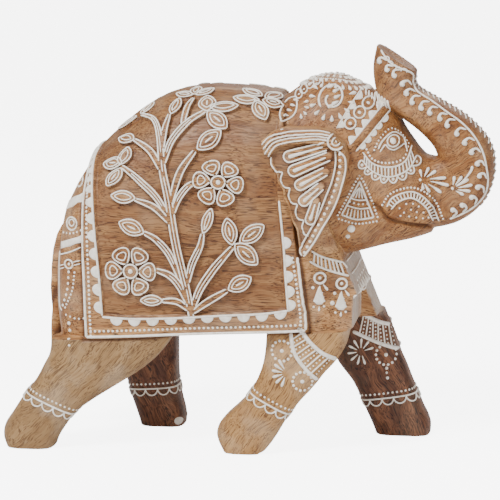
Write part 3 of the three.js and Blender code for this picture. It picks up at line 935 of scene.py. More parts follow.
class Brush:
    """Paint for one part of the figure. lay puts places of a flat pattern on the wood."""

    def __init__(self, name, lay):
        self.name, self.lay = name, lay
        self.lines, self.dots, self.fills = [], [], []

    def line(self, points, radius=0.5, keep=None, smooth=True, widths=None):
        """A bead along a line. Where keep is false, or the line leaves the wood or jumps, it's broken."""
        line = flowing(points, LINE_STEP) if smooth else np.asarray(points, float)
        place, normal, met = self.lay(line)
        if keep is not None:
            met &= keep(line)
        jump = np.linalg.norm(np.diff(place, axis=0), axis=1) > LONGEST_STEP
        width = np.full(len(line), radius) if widths is None else np.interp(
            np.linspace(0, 1, len(line)), np.linspace(0, 1, len(widths)), widths)
        broken = ~met[:-1] | ~met[1:] | jump
        for run in np.split(np.arange(len(line)), np.flatnonzero(broken) + 1):
            if len(run) > 2:
                self.bead(place[run] + BEAD_LIFT * normal[run], width[run])

    def bead(self, points, width):
        """A bead with round ends."""
        run = np.concatenate([[0], np.cumsum(np.linalg.norm(np.diff(points, axis=0), axis=1))])
        near_end = np.minimum(run, run[-1] - run) / np.maximum(width, 0.1)
        from_full = 1 - np.clip(near_end + 0.12, 0, 1)
        self.lines.append((points, width * np.sqrt(np.clip(1 - from_full ** 2, 0, 1))))

    def ring(self, centre, radius, thickness=0.45):
        """A bead laid round in a ring."""
        self.line(arc(centre, radius, 0, 360), thickness, smooth=False)

    def dot(self, centre, radius=0.75):
        """One round dot."""
        self.dot_all([centre], radius)

    def dot_all(self, centres, radius=0.75):
        """A dot at each place that lies on the wood."""
        place, normal, met = self.lay(np.asarray(centres, float))
        sizes = np.broadcast_to(radius, len(place))
        self.dots += [(p, n, s) for p, n, s, ok in zip(place, normal, sizes, met) if ok]

    def dot_row(self, points, spacing=2.4, radius=0.7):
        """Dots evenly along a line."""
        self.dot_all(spaced(points, spacing), radius)

    def drop(self, foot, tip, radius=0.9):
        """A drop of paint pulled to a point: thick at the tip."""
        self.line([foot, tip], widths=(0.25, 0.5 * radius, radius, radius))

    def rungs(self, first, second, spacing=2.4, radius=0.4):
        """Bars from one line to another."""
        ends = spaced(first, spacing)
        for a, share in zip(ends[1:-1], np.linspace(0, 1, len(ends))[1:-1]):
            other = flowing(second, 0.5)
            self.line([a, other[round(share * (len(other) - 1))]], radius)

    def loops(self, points, count, depth, radius=0.42, dots=0.0, right=True):
        """Loops hung along a line, with a dot in each if dots isn't 0."""
        line = flowing(points, 0.5)
        stops = np.linspace(0, len(line) - 1, count + 1).round().astype(int)
        feet = line[stops]
        for a, b in zip(feet[:-1], feet[1:]):
            across = (b - a) / 2
            out = np.array([across[1], -across[0]]) / np.linalg.norm(across) * depth * (1 if right else -1)
            turn = np.radians(np.linspace(0, 180, 14))
            loop = (a + b) / 2 - np.outer(np.cos(turn), across) + np.outer(np.sin(turn), out)
            self.line(loop, radius, smooth=False)
            if dots:
                self.dot((a + b) / 2 + out * 0.45, dots)

    def fill(self, outline, thickness=0.55):
        """A shape filled with paint, inside an outline that its middle sees all of."""
        outline = np.asarray(outline, float)
        middle = outline.mean(0)
        rings = [middle + (outline - middle) * share for share in (0.35, 0.7, 0.9, 1.0)]
        place, normal, met = self.lay(np.vstack([middle[None], *rings]))
        if met.all() and np.ptp(place, axis=0).max() < 4 * np.ptp(outline, axis=0).max():
            heights = np.concatenate([[1], np.repeat((1, 0.95, 0.7, 0.15), len(outline))])
            self.fills.append((place, unit(normal), heights * thickness, len(outline)))

    def half_disc(self, centre, out_heading, half=3.5, depth=4.3):
        """A filled half disc, flat side on its centre, bulging towards a heading."""
        a = math.radians(out_heading)
        out, across = np.array([math.cos(a), math.sin(a)]), np.array([-math.sin(a), math.cos(a)])
        turn = np.radians(np.linspace(0, 180, 15))
        bulge = np.outer(np.cos(turn), across) * half + np.outer(np.sin(turn), out) * depth
        self.fill(np.asarray(centre) + bulge)


# ---- Paint on the blanket --------------------------------------------------------------------
def leaf_outline(leaf, inset, round_tip=False):
    """The outline of a leaf or a petal, an inset inside its edge."""
    (cu, cv), length, width, heading = leaf
    turn = np.linspace(0, 2 * math.pi, 44)
    across = np.sign(np.sin(turn)) * leaf_half_width(np.cos(turn), width - 2 * inset, round_tip)
    along = np.cos(turn) * (length / 2 - 1.2 * inset)
    a = math.radians(heading)
    turned = (along * math.cos(a) - across * math.sin(a), along * math.sin(a) + across * math.cos(a))
    return np.stack([cu + turned[0], cv + turned[1]], 1)


REAR_EDGE = ((-84.4, 57), (-85.3, 95), (-86.8, 138), (-86.2, 165), (-84.8, 195), (-84.6, 225))
FRONT_EDGE = ((35, 62), (34.3, 74), (32.2, 92), (30.4, 109))
ALL_PETALS = [petal for flower in FLOWERS for petal in flower_petals(flower)]
# How far outside the sunk panel its painted line lies.
RIM = 0.8


def paint_hem(brush):
    """The lowest line and its dots, as seen from the side."""
    edge = np.array([(x, hem_height(x) + 0.9) for x in np.linspace(-84.4, 34.6, 12)])
    brush.line(edge, 0.75)
    brush.dot_row([(x, hem_height(x) + 4) for x in (-82, -20, 32)], 2.5, 0.72)


def paint_stems(brush):
    """Lines down both edges and the middle of the carved stems, where nothing covers them."""
    for index, (points, foot, tip) in enumerate(STEMS):
        line = flowing(points, LINE_STEP)
        half = stem_half_width(np.linspace(0, 1, len(line)), foot, tip) - 0.65
        others, gap = (STEMS[:index], 0.3) if index else (STEMS[1:], 1.1)

        def clear(places):
            u, v = places.T
            blooms = [inside_leaf(u, v, leaf) for leaf in LEAVES]
            blooms += [inside_leaf(u, v, petal, True) for petal in ALL_PETALS]
            stems = [inside_stem(u, v, stem) for stem in others]
            return (np.max(blooms, axis=0) < 0.1) & (np.max(stems, axis=0) < gap)

        for side in SIDES:
            brush.line(beside(line, side * half), 0.46, keep=clear, smooth=False)
        if len(points) > 3:
            brush.line(line[12:-12], 0.32, keep=clear, smooth=False)


def paint_leaves(brush):
    """Two outlines in each carved leaf, and a vein in the wide ones."""
    for leaf in LEAVES:
        (u, v), length, width, heading = leaf
        a = math.radians(heading)
        reach = 0.16 * length * np.array([math.cos(a), math.sin(a)])
        brush.line(leaf_outline(leaf, 0.4), 0.42, smooth=False)
        brush.line(leaf_outline(leaf, 2.1), 0.34, smooth=False)
        if width > 8.2:
            brush.line([(u, v) - reach, (u, v) + reach], widths=(0.45, 0.55, 0.3))


def paint_flowers(brush):
    """Two outlines in each petal, and a ringed dot in the middle of each flower."""
    for index, (centre, _, _) in enumerate(FLOWERS):
        for petal in ALL_PETALS[index * PETALS:(index + 1) * PETALS]:
            brush.line(leaf_outline(petal, 0.4, True), 0.43, smooth=False)
            brush.line(leaf_outline(petal, 2.4, True), 0.36, smooth=False)
        brush.ring(centre, FLOWER_EYE - 0.7, 0.5)
        brush.dot(centre, 1.3)


def paint_panel_edge(brush):
    """A line round the sunk panel, and half discs that stand on it."""
    rear = [(u - RIM, v) for v, u in PANEL_REAR]
    foot = [(u, v - RIM) for u, v in PANEL_FOOT]
    foot[0], foot[-1] = (-75.3, foot[0][1]), (25.6, foot[-1][1])
    front = [(u + RIM, v) for v, u in PANEL_FRONT[:4]]
    for edge in (rear, foot, front):
        brush.line(edge, 0.6)
    for v in np.arange(79.5, 222, 9.9):
        brush.half_disc((along_line(PANEL_REAR, v) - RIM, v), 180)
    for u in np.arange(-67.5, 24, 9.9):
        brush.half_disc((u, along_line(PANEL_FOOT, u) - RIM), -90, 3.5, 4.6)
    for v in (82, 90, 98.5, 107.5, 117.5):
        brush.half_disc((along_line(PANEL_FRONT, v) + RIM, v), 0)


def paint_blanket_edge(brush):
    """The blanket's rear and front lines, with a row of dots beside each."""
    for edge, du in ((REAR_EDGE, 2.4), (FRONT_EDGE, -2.4)):
        brush.line(edge, 0.75)
        dots = [(u + du, v + 4) for u, v in edge[:-1]] + [(edge[-1][0] + du, edge[-1][1])]
        brush.dot_row(dots, 2.5, 0.72)


# ---- Paint on the ears -----------------------------------------------------------------------
def paint_ear(brush):
    """The rim, the rosette, the folds, the long lobes and the scalloped edge."""
    brush.line([(52.5, 168.5), (56, 164.5), (56.2, 158), (54.8, 151), (52.2, 142.5), (48.7, 134.5),
                (44, 126.5), (39.8, 119), (34, 110.8)], 0.5)
    brush.line([(51, 168), (51.2, 161), (49.4, 152), (46.4, 144), (42.8, 135), (38.2, 126), (32.8, 115.5),
                (34, 110.8)], 0.5)
    brush.dot_row([(53.6, 166.5), (53.6, 159), (52, 151), (49.3, 143), (45.8, 134.8), (41.4, 126.5),
                   (35, 113.5)], 3.3, 0.85)
    brush.ring(ROSETTE, 4.2, 0.55)
    brush.ring(ROSETTE, 2.0, 0.45)
    brush.dot(ROSETTE, 0.7)
    fold = flowing(EAR_FOLD, LINE_STEP)
    for shift in (-4.2, -2.1, 0, 2.1, 4.0):
        brush.line(beside(fold, shift * np.linspace(1, 0.55, len(fold))), 0.42, smooth=False)
    brush.line([(9.6, 169), (11.5, 165.5), (14.5, 163.2)], 0.42)
    for foot, tip, half in LOBES:
        foot, tip = np.array(foot), np.array(tip)
        along = (tip - foot) / np.linalg.norm(tip - foot)
        out = np.array([-along[1], along[0]]) * (half - 0.5)
        turn = np.radians(np.linspace(90, -90, 12))
        cap = tip + np.outer(np.cos(turn), along) * (half - 0.6) + np.outer(np.sin(turn), out)
        brush.line(np.vstack([foot + out * 0.75, cap, foot - out * 0.75]), 0.48)
        brush.line([tip + along * 0.3, foot + along * 1.5], widths=(1.15, 0.9, 0.6, 0.5, 0.5))
    scallop = [(17, 164), (19, 157.5), (23, 156), (22.5, 149.5), (27, 147.5), (27, 141), (31, 139),
               (30.5, 132.5), (34.5, 130.5), (34, 125), (37, 122)]
    for a, b in zip(scallop[:-1], scallop[1:]):
        brush.line([a, ((a[0] + b[0]) / 2 - 0.8, (a[1] + b[1]) / 2 - 0.5), b], 0.45)


# ---- Paint on the head and trunk -------------------------------------------------------------
TRUNK_EDGE = [(71.5, 218), (76.5, 212), (80.5, 209.5), (88, 206), (88.5, 200.5), (91, 196), (99, 191),
              (107, 185.5), (115.5, 179.5), (122.5, 172), (127, 163.5), (129, 154.5),
              (129.5, 148.5), (128.5, 143), (126, 138.5), (121.5, 134), (115.5, 130.5), (109.5, 128)]
COMMAS = ((71.5, 211), (76, 207), (80, 204), (83, 199), (86, 194), (89.5, 189.5), (94.5, 186.5), (99, 184),
          (104.5, 181), (108.5, 177.5), (113.5, 173), (117.5, 168), (121, 163), (124, 157), (125, 150.5),
          (123.5, 144.5), (120, 139.5), (115, 135.5), (110, 133))


def paint_trunk(brush):
    """A line along the trunk's inner edge, and commas that hang from it."""
    brush.line(TRUNK_EDGE, 0.55)
    brush.loops([(73.5, 214.5), (79, 208.5), (85.5, 206.5)], 5, 1.8, 0.35, right=False)
    edge = flowing(TRUNK_EDGE, 0.5)
    for x, z in COMMAS:
        nearest = np.hypot(edge[:, 0] - x, edge[:, 1] - z).argmin()
        blob, foot = np.array([x, z]), edge[nearest]
        along = unit((edge[min(nearest + 3, len(edge) - 1)] - edge[max(nearest - 3, 0)])[None])[0]
        over = blob + 0.15 * (foot - blob) - 2.0 * along
        bend = blob + 0.6 * (foot - blob) - 2.2 * along
        brush.line([blob, over, bend, blob + 0.86 * (foot - blob) + 0.8 * along],
                   widths=(1.7, 1.65, 1.0, 0.65, 0.6, 0.55, 0.4))


def paint_trunk_front(brush):
    """Bars across the trunk's outer face."""
    for along in np.arange(24, 112, 3.3):
        reach = np.interp(along, (24, 50, 112), (6, 8, 8))
        brush.line([(along + 1, -reach), (along - 0.6, 0), (along + 1, reach)], 0.38)


HEAD_TOP = np.array((46, 0))


def paint_head_top(brush):
    """Rings of drops round a small flower on top of the head."""
    for reach, count, size in ((4, 8, 0.8), (9, 16, 0.95), (14, 24, 1.0), (19, 30, 1.0)):
        for a in np.linspace(0, 2 * math.pi, count, endpoint=False):
            out = np.array([math.cos(a), math.sin(a)])
            brush.drop(HEAD_TOP + out * (reach - 2.6), HEAD_TOP + out * (reach + 0.6), size)
    for x, y in arc(HEAD_TOP, 11.8, 0, 352)[::2]:
        brush.dot((x, y), 0.6)
    brush.dot(HEAD_TOP, 1.2)


def paint_chest_front(brush):
    """Two lines across the chest, and drops and dots under them, as seen from in front."""
    for z in (105.3, 98.6):
        brush.line([(-24, z), (0, z - 0.4), (24, z)], 0.5)
    for y in np.arange(-20, 21, 8):
        brush.drop((y, 92), (y, 87), 1.0)
        brush.dot((y + 4, 93.5), 0.8)


def paint_eye(brush):
    """The eye with its lids and lashes, and the looped band under it."""
    brush.dot(EYE, 1.9)
    brush.ring((EYE[0], EYE[1] - 0.2), 2.9, 0.45)
    brush.line([(72, 167), (74, 171), (79, 175), (83.5, 172.5), (86, 167.5)], 0.45)
    brush.line([(73, 165.5), (75.5, 169), (77.5, 167), (80, 166.2), (82.5, 167.3), (85, 168.5),
                (86.5, 165.5)], 0.4)
    brush.dot_row([(70, 166.5), (72.5, 172), (77.5, 177), (82.5, 174.5), (87, 168.5)], 1.8, 0.55)
    brush.dot_row([(66, 167), (68.8, 162.2), (74, 159.8), (81, 159.8), (85.5, 162), (87, 167)], 1.9, 0.6)
    high = [(64, 165.5), (68.5, 160), (75, 157.5), (82, 157.8), (86.8, 161), (88.5, 167)]
    low = [(63.5, 161.5), (69, 155.5), (76, 152.3), (82, 152.8), (88, 156), (91.3, 162)]
    brush.line(high, 0.45)
    brush.line(low, 0.45)
    brush.rungs(high, low, 1.9, 0.42)
    brush.loops(low, 8, 3.6, 0.45, dots=0.85)


def paint_headband(brush):
    """The band down the forehead: lines, ringed dots and steps."""
    left = [(61, 197), (56.5, 189.5), (50, 178)]
    right = [(74, 190.5), (67, 181.5), (57.5, 169.5)]
    after = [(76.5, 186), (71, 179), (66, 172.5), (60.5, 166)]
    for line in (left, right, after):
        brush.line(line, 0.5)
    for centre in ((57, 180.5), (61.5, 186), (65.5, 190.5)):
        brush.ring(centre, 2.9, 0.5)
        brush.dot(centre, 1.0)
    for line, sign, size in ((left, 1, 2.6), (right, -1, 2.8)):
        stops = spaced(line, 5.4)
        for a, b in zip(stops[:-1], stops[1:]):
            middle = (a + b) / 2
            along = unit((b - a)[None])[0]
            out = np.array([-along[1], along[0]]) * sign
            brush.fill([middle - along * size, middle, middle + along * size,
                        middle + along * 0.4 * size + out * size, middle + out * 1.3 * size,
                        middle - along * 0.4 * size + out * size])
    for centre in spaced(after, 4.4)[1:-1]:
        brush.half_disc(centre, -38, 2.0, 2.6)
    for k in range(9):
        foot = np.array([62.5 + 1.6 * k, 199.5 - 1.0 * k])
        brush.line([foot, foot + (1.3, -5.5)], widths=(0.8, 0.6, 0.4))


def paint_crown(brush):
    """The spiral with its rays above the ear, and the leaf, rings and dots behind it."""
    centre = (46.5, 193.5)
    turn = np.linspace(0, 430, 60)
    reach = np.interp(turn, (0, 110, 430), (2.2, 4.6, 7.2))
    a = np.radians(150 + turn)
    brush.line(np.stack([centre[0] + reach * np.cos(a), centre[1] + reach * np.sin(a)], 1), 0.6, smooth=False)
    for heading in range(130, 380, 24):
        a = math.radians(heading)
        out = np.array([math.cos(a), math.sin(a)])
        brush.drop(centre + out * 8.8, centre + out * 12.2, 1.2)
    for x, z in ((46, 199), (48.5, 196.8), (49.3, 193.8), (48.6, 190.8), (46.4, 189.2)):
        brush.line([(x + 1.6, z + 1), (x - 1.6, z - 0.6)], widths=(0.4, 0.9, 1.2))
    leaf = ((23.5, 187), 14, 8.5, 62)
    brush.line(leaf_outline(leaf, 0.2), 0.5, smooth=False)
    for k in range(4):
        x, z = 21.5 + 1.6 * k, 183.5 + 2.6 * k
        brush.line([(x + 2.2, z), (x - 0.6, z + 0.3)], widths=(0.3, 0.7, 1.05))
    for x, z, heading in ((31, 182.5, -75), (33.5, 184.5, -45), (34.5, 188, -15), (34, 191.5, 15)):
        a = math.radians(heading)
        brush.drop((x - 2.6 * math.cos(a), z - 2.6 * math.sin(a)), (x, z), 0.95)
    for x, z in ((28, 194.5), (30.5, 197), (33.5, 199.5), (37, 201.3)):
        brush.ring((x, z), 2.1, 0.45)
        brush.dot((x, z), 0.7)
    for k in range(9):
        brush.dot((25 + 2.0 * k, 197.5 + 1.1 * k - 0.04 * k * k), 0.9)


def paint_cheek(brush):
    """The tassel under the eye, and the arched band round the mouth."""
    cone = [(62.5, 150), (53, 131.8), (61, 129.3), (70, 130.3), (62.5, 150)]
    for part in (cone[:2], cone[1:4], cone[3:]):
        brush.line(part, 0.5)
    for row in ([(62.5, 153), (60, 149), (55.5, 140), (51, 131.5)],
                [(62.5, 153), (65, 149), (68.8, 140), (72, 130.5)],
                [(51.5, 129.5), (61, 126.8), (71.5, 128)]):
        brush.dot_row(row, 1.9, 0.6)
    brush.line([(57.8, 141), (62, 139.8), (66.7, 140)], 0.42)
    brush.line([(55.6, 137), (62, 135.3), (68, 135.5)], 0.42)
    brush.dot_row([(57.3, 139), (62, 137.6), (66.8, 137.8)], 2.2, 0.6)
    for k in range(5):
        share = k / 4
        top, end = (61.6 + 1.8 * share, 147 - 0.5 * abs(k - 2)), (58.8 + 7 * share, 141.3 - 0.8 * share)
        brush.line([top, end], 0.35)
    brush.rungs([(55.3, 136), (62, 134.4), (68.4, 134.6)],
                [(53.6, 131.5), (61, 129.5), (69.6, 130.5)], 1.6, 0.36)
    brush.dot((58, 124), 2.2)
    brush.dot((56, 119.5), 1.3)
    outer = [(76.8, 136), (80, 141), (88.5, 143.8), (95, 141.3), (100.5, 135), (103.8, 126.8)]
    inner = [(79, 134.5), (83, 138.6), (89, 140.4), (94, 138), (98.3, 133.3), (100.5, 127)]
    brush.line(outer, 0.45)
    brush.line(inner, 0.45)
    brush.rungs(outer, inner, 2.0, 0.4)
    brush.dot_row([(74.5, 137), (78.8, 143), (88.5, 146), (96.5, 143.3), (102.5, 136.8), (106, 128)],
                  1.9, 0.62)
    for x, z in ((83.5, 135), (87, 137.2), (90.5, 137.2), (93.5, 135.6), (85.8, 132.5), (89.5, 134),
                 (92.5, 132.6), (96, 132.2), (84, 130.8), (88.5, 130.3), (92.2, 129.6), (95.7, 129),
                 (98.6, 129.3)):
        brush.dot((x, z), 0.55)


def paint_sprays(brush):
    """Two sprays of drops at the foot of the trunk."""
    for foot, radius, tips in (
            ((95, 149.5), 0.95, ((93.5, 155), (98, 155.5), (102, 154), (107.5, 150.5), (109, 146.5),
                                 (105, 142.5), (99, 143), (95.5, 144.5))),
            ((111, 144.5), 0.9, ((112, 151.5), (116, 151.5), (119.5, 150), (121.5, 147), (120.5, 143.5),
                                 (117, 141.5)))):
        foot = np.array(foot)
        for tip in np.array(tips):
            brush.drop(foot + (tip - foot) * 0.3, tip, radius)
    brush.dot((111, 144.8), 0.8)
    brush.line([(113, 146), (117, 149.5), (120.5, 154), (121.5, 157)], widths=(0.4, 0.4, 0.6, 0.9))
    brush.dot((94, 149.8), 0.8)


def paint_chest(brush):
    """The breast band with its tassels, on the body's side between ear and leg."""
    high = [(37.5, 112.8), (42, 110), (48, 107.8), (54, 106)]
    low = [(36.5, 107.3), (42, 104), (50, 100.7), (57, 98.7)]
    brush.line(high, 0.6)
    brush.line(low, 0.65)
    brush.rungs(high, low, 2.0, 0.5)
    brush.line([(54, 106), (57.5, 100)], 0.5)
    for (x, z), size in (((42, 98), 1.0), ((53.3, 94.5), 0.95)):
        brush.ring((x, z), 2.9 * size, 0.65)
        brush.dot((x, z), 0.9)
        brush.fill([(x - 3.4, z - 12.5), (x - 1.1, z - 6), (x, z - 3.8), (x + 0.5, z - 6),
                    (x + 2.6, z - 12.5), (x + 1, z - 14.5), (x - 1.5, z - 14.5)])
        for k in range(3):
            level = z - 8 - 2.3 * k
            brush.line([(x - 1.8 - 0.7 * k, level), (x - 0.3, level - 0.8), (x + 1.6 + 0.6 * k, level)], 0.35)
        brush.drop((x + 1.6, z - 3.4), (x + 4, z - 6.8), 0.8)
        brush.dot((x - 3.6, z - 5.2), 0.9)
        brush.drop((x - 0.3, z - 15.3), (x - 0.5, z - 18), 0.75)
        brush.dot_all([(x - 3.2, z - 15.8), (x + 2.2, z - 15.6)], 0.7)
    brush.dot((48.5, 84), 1.3)
    brush.ring((61, 86.5), 1.6, 0.5)
    brush.fill([(58.8, 79), (61, 84.5), (63, 79), (61, 77)])


def paint_rump(brush):
    brush.fill([(-100.5, 109.5), (-94, 112), (-87.5, 114.5), (-87.5, 118.5), (-94, 116), (-100.5, 113.5)])
    brush.line([(-101, 106.5), (-94, 109), (-87.8, 112)], 0.42)
    brush.ring((-94.8, 102.3), 2.4, 0.5)
    brush.dot((-94.8, 102.3), 0.8)
    for dz in (-0.9, 0.9):
        brush.line([(-101, 99.5 + dz), (-97.6, 101 + dz)], 0.35)
        brush.line([(-92, 102.8 + dz), (-88, 104 + dz)], 0.35)
    brush.dot_row([(-95, 98), (-96, 88), (-99, 79)], 3.2, 0.85)
    brush.dot_row([(-91.5, 98), (-93, 88), (-97.5, 78)], 2.2, 0.65)
    brush.dot_row([(-97, 74), (-91, 72.5), (-86.5, 73)], 2.4, 0.65)
    for k, z in enumerate((69.5, 65.5, 61.8, 58.4)):
        brush.dot((-95.3 + 0.4 * k, z), 1.15 - 0.15 * k)
    brush.line([(-101.5, 108), (-101.8, 95), (-101.8, 80), (-99.5, 76)], 0.4)
    brush.ring((-93.5, 124), 3.3, 0.5)
    brush.ring((-93.5, 124.5), 1.7, 0.45)
    brush.dot_row([(-99, 118.5), (-93, 119), (-88, 121)], 2.3, 0.6)
    brush.fill([(-100, 129), (-94, 132.5), (-88, 136), (-88, 140.5), (-94, 137.5), (-99.5, 133.5)])
    brush.ring((-92, 145.5), 2.8, 0.5)
    brush.dot((-92, 145.5), 0.9)


# ---- Paint on the legs -----------------------------------------------------------------------
# Anklets: y of the leg's middle, then (x, z) where the line crosses the leg's rear and front.
ANKLETS = {
    "right_fore": (-27.5, (4.5, 33.5), (25, 22.5)),
    "left_fore": (27.5, (60, 19.5), (89.5, 24)),
    "right_hind": (-31, (-118, 30.5), (-92, 19)),
    "left_hind": (31, (-73, 21), (-46.5, 23)),
}


def paint_anklet(brush, girth):
    """A line round the ankle with dots over it and loops under it."""
    brush.line([(0, 0), (girth / 2, 0), (girth + 0.6, 0)], 0.5)
    brush.loops([(0, 0), (girth / 2, 0), (girth, 0)], round(girth / 6.8), 3.8, 0.42)
    brush.dot_row([(0, 2.7), (girth / 2, 2.7), (girth - 2.5, 2.7)], 2.5, 0.65)


def dotted_ring(brush, centre, radius):
    brush.dot_all([(centre[0] + radius * math.cos(a), centre[1] + radius * math.sin(a))
                   for a in np.linspace(0, 2 * math.pi, 15)[:-1]], 0.8)
    brush.dot(centre, 1.1)


def garter(brush, high, low, count=3):
    """A broad band with lines across it."""
    brush.line(high, 1.2)
    brush.line(low, 1.1)
    first, second = flowing(high, 0.5), flowing(low, 0.5)
    for k in range(1, count + 1):
        share = k / (count + 1)
        a = first[round(share * (len(first) - 1))]
        b = second[round(share * (len(second) - 1))]
        brush.line([a, b], 0.45)
        ahead = first[round((share + 0.5 / (count + 1)) * (len(first) - 1))]
        after = second[round((share + 0.5 / (count + 1)) * (len(second) - 1))]
        brush.dot_row([ahead * 0.85 + after * 0.15, ahead * 0.15 + after * 0.85], 2.2, 0.5)


def fan(brush, foot, reach, start, end, count, radius=0.85):
    for a in np.radians(np.linspace(start, end, count)):
        out = np.array([math.cos(a), math.sin(a)])
        brush.drop(np.array(foot) + out * reach * 0.3, np.array(foot) + out * reach, radius)


def paint_right_fore_leg(brush):
    garter(brush, [(31, 71.5), (36.5, 64), (43, 58), (50.5, 54)],
           [(26.5, 69), (28.5, 58), (33.5, 50), (40.5, 42.5)], 6)
    dotted_ring(brush, (21.8, 58), 5.6)
    fan(brush, (24.5, 46), 8, 120, 250, 6)
    dotted_ring(brush, (33, 41.5), 5.2)


def paint_left_fore_leg(brush):
    garter(brush, [(58.5, 70.5), (66.5, 65.5), (76, 61.5)], [(54.5, 59), (66, 54), (80, 48.5)], 6)
    fan(brush, (59, 47.5), 7.5, 20, 290, 9, 0.7)
    dotted_ring(brush, (73, 46), 5.6)
    brush.dot_all([(73.5, 38.5), (73.5, 36), (74, 33)], (0.9, 0.7, 0.9))


def paint_right_hind_leg(brush):
    brush.fill(arc((-97.5, 3.2), 2.2, 0, 330))


def paint_left_hind_leg(brush):
    brush.fill(arc((-45, 3.4), 2.2, 0, 330))


LEG_PAINTERS = {-1: (paint_right_fore_leg, paint_right_hind_leg),
                1: (paint_left_fore_leg, paint_left_hind_leg)}


# ---- From brushes to solid paint -------------------------------------------------------------
def geometry_tree(name, settings):
    """A new Geometry Nodes tree with named settings: (name, kind, value)."""
    tree = bpy.data.node_groups.new(name, "GeometryNodeTree")
    tree.interface.new_socket("Geometry", in_out="INPUT", socket_type="NodeSocketGeometry")
    for key, kind, value in settings:
        tree.interface.new_socket(key, in_out="INPUT", socket_type="NodeSocket" + kind).default_value = value
    tree.interface.new_socket("Geometry", in_out="OUTPUT", socket_type="NodeSocketGeometry")
    given, out = (tree.nodes.new("NodeGroup" + end) for end in ("Input", "Output"))
    return tree, given.outputs, out.inputs["Geometry"]


def painted(tree, shape, output):
    """Ends a tree: made real, smooth and painted."""
    real = tree.nodes.new("GeometryNodeRealizeInstances")
    smooth = tree.nodes.new("GeometryNodeSetShadeSmooth")
    finish = tree.nodes.new("GeometryNodeSetMaterial")
    finish.inputs["Material"].default_value = PAINT
    tree.links.new(shape, real.inputs["Geometry"])
    tree.links.new(real.outputs["Geometry"], smooth.inputs["Geometry"])
    tree.links.new(smooth.outputs[0], finish.inputs["Geometry"])
    tree.links.new(finish.outputs["Geometry"], output)


def named(tree, name, kind):
    node = tree.nodes.new("GeometryNodeInputNamedAttribute")
    node.data_type = kind
    node.inputs["Name"].default_value = name
    return node.outputs["Attribute"]


def bead_tree():
    """Lays a round bead of paint along each line of edges, as thick as its points say."""
    tree, given, output = geometry_tree("bead of paint", [("Bead Sides", "Int", 6),
                                                          ("Bead Thickness", "Float", 1.0)])
    curve = tree.nodes.new("GeometryNodeMeshToCurve")
    profile = tree.nodes.new("GeometryNodeCurvePrimitiveCircle")
    solid = tree.nodes.new("GeometryNodeCurveToMesh")
    tree.links.new(given["Geometry"], curve.inputs["Mesh"])
    tree.links.new(given["Bead Sides"], profile.inputs["Resolution"])
    tree.links.new(given["Bead Thickness"], profile.inputs["Radius"])
    tree.links.new(curve.outputs["Curve"], solid.inputs["Curve"])
    tree.links.new(profile.outputs["Curve"], solid.inputs["Profile Curve"])
    tree.links.new(named(tree, "width", "FLOAT"), solid.inputs["Scale"])
    solid.inputs["Fill Caps"].default_value = True
    painted(tree, solid.outputs["Mesh"], output)
    return tree


def dot_tree():
    """Sets a flattened drop of paint on each point, facing out of the wood."""
    tree, given, output = geometry_tree("dots of paint", [("Dot Height", "Float", 0.62)])
    ball = tree.nodes.new("GeometryNodeMeshIcoSphere")
    ball.inputs["Radius"].default_value = 1
    ball.inputs["Subdivisions"].default_value = 2
    align = tree.nodes.new("FunctionNodeAlignRotationToVector")
    align.axis = "Z"
    flat = tree.nodes.new("ShaderNodeCombineXYZ")
    flat.inputs["X"].default_value = flat.inputs["Y"].default_value = 1
    scale = tree.nodes.new("ShaderNodeVectorMath")
    scale.operation = "SCALE"
    place = tree.nodes.new("GeometryNodeInstanceOnPoints")
    tree.links.new(given["Dot Height"], flat.inputs["Z"])
    tree.links.new(flat.outputs[0], scale.inputs[0])
    tree.links.new(named(tree, "width", "FLOAT"), scale.inputs["Scale"])
    tree.links.new(named(tree, "facing", "FLOAT_VECTOR"), align.inputs["Vector"])
    tree.links.new(given["Geometry"], place.inputs["Points"])
    tree.links.new(ball.outputs["Mesh"], place.inputs["Instance"])
    tree.links.new(align.outputs[0], place.inputs["Rotation"])
    tree.links.new(scale.outputs[0], place.inputs["Scale"])
    painted(tree, place.outputs["Instances"], output)
    return tree


def grown(mesh, tree):
    """The plain mesh that a tree makes of a mesh."""
    obj = bpy.data.objects.new("grown", mesh)
    bpy.context.scene.collection.objects.link(obj)
    obj.modifiers.new("grow", "NODES").node_group = tree
    return evaluated(obj)


def bead_mesh(lines):
    mesh = bpy.data.meshes.new("lines")
    points, edges, count = [], [], 0
    for line, _ in lines:
        points += (line * MM).tolist()
        edges += [(k, k + 1) for k in range(count, count + len(line) - 1)]
        count += len(line)
    mesh.from_pydata(points, edges, [])
    write_attribute(mesh, "width", "FLOAT", np.concatenate([width for _, width in lines]) * MM)
    return grown(mesh, BEADS)


def dot_mesh(dots):
    mesh = bpy.data.meshes.new("points")
    mesh.from_pydata([tuple(p * MM) for p, _, _ in dots], [], [])
    write_attribute(mesh, "width", "FLOAT", [s * MM for _, _, s in dots])
    write_attribute(mesh, "facing", "FLOAT_VECTOR", [n for _, n, _ in dots])
    return grown(mesh, DOTS)


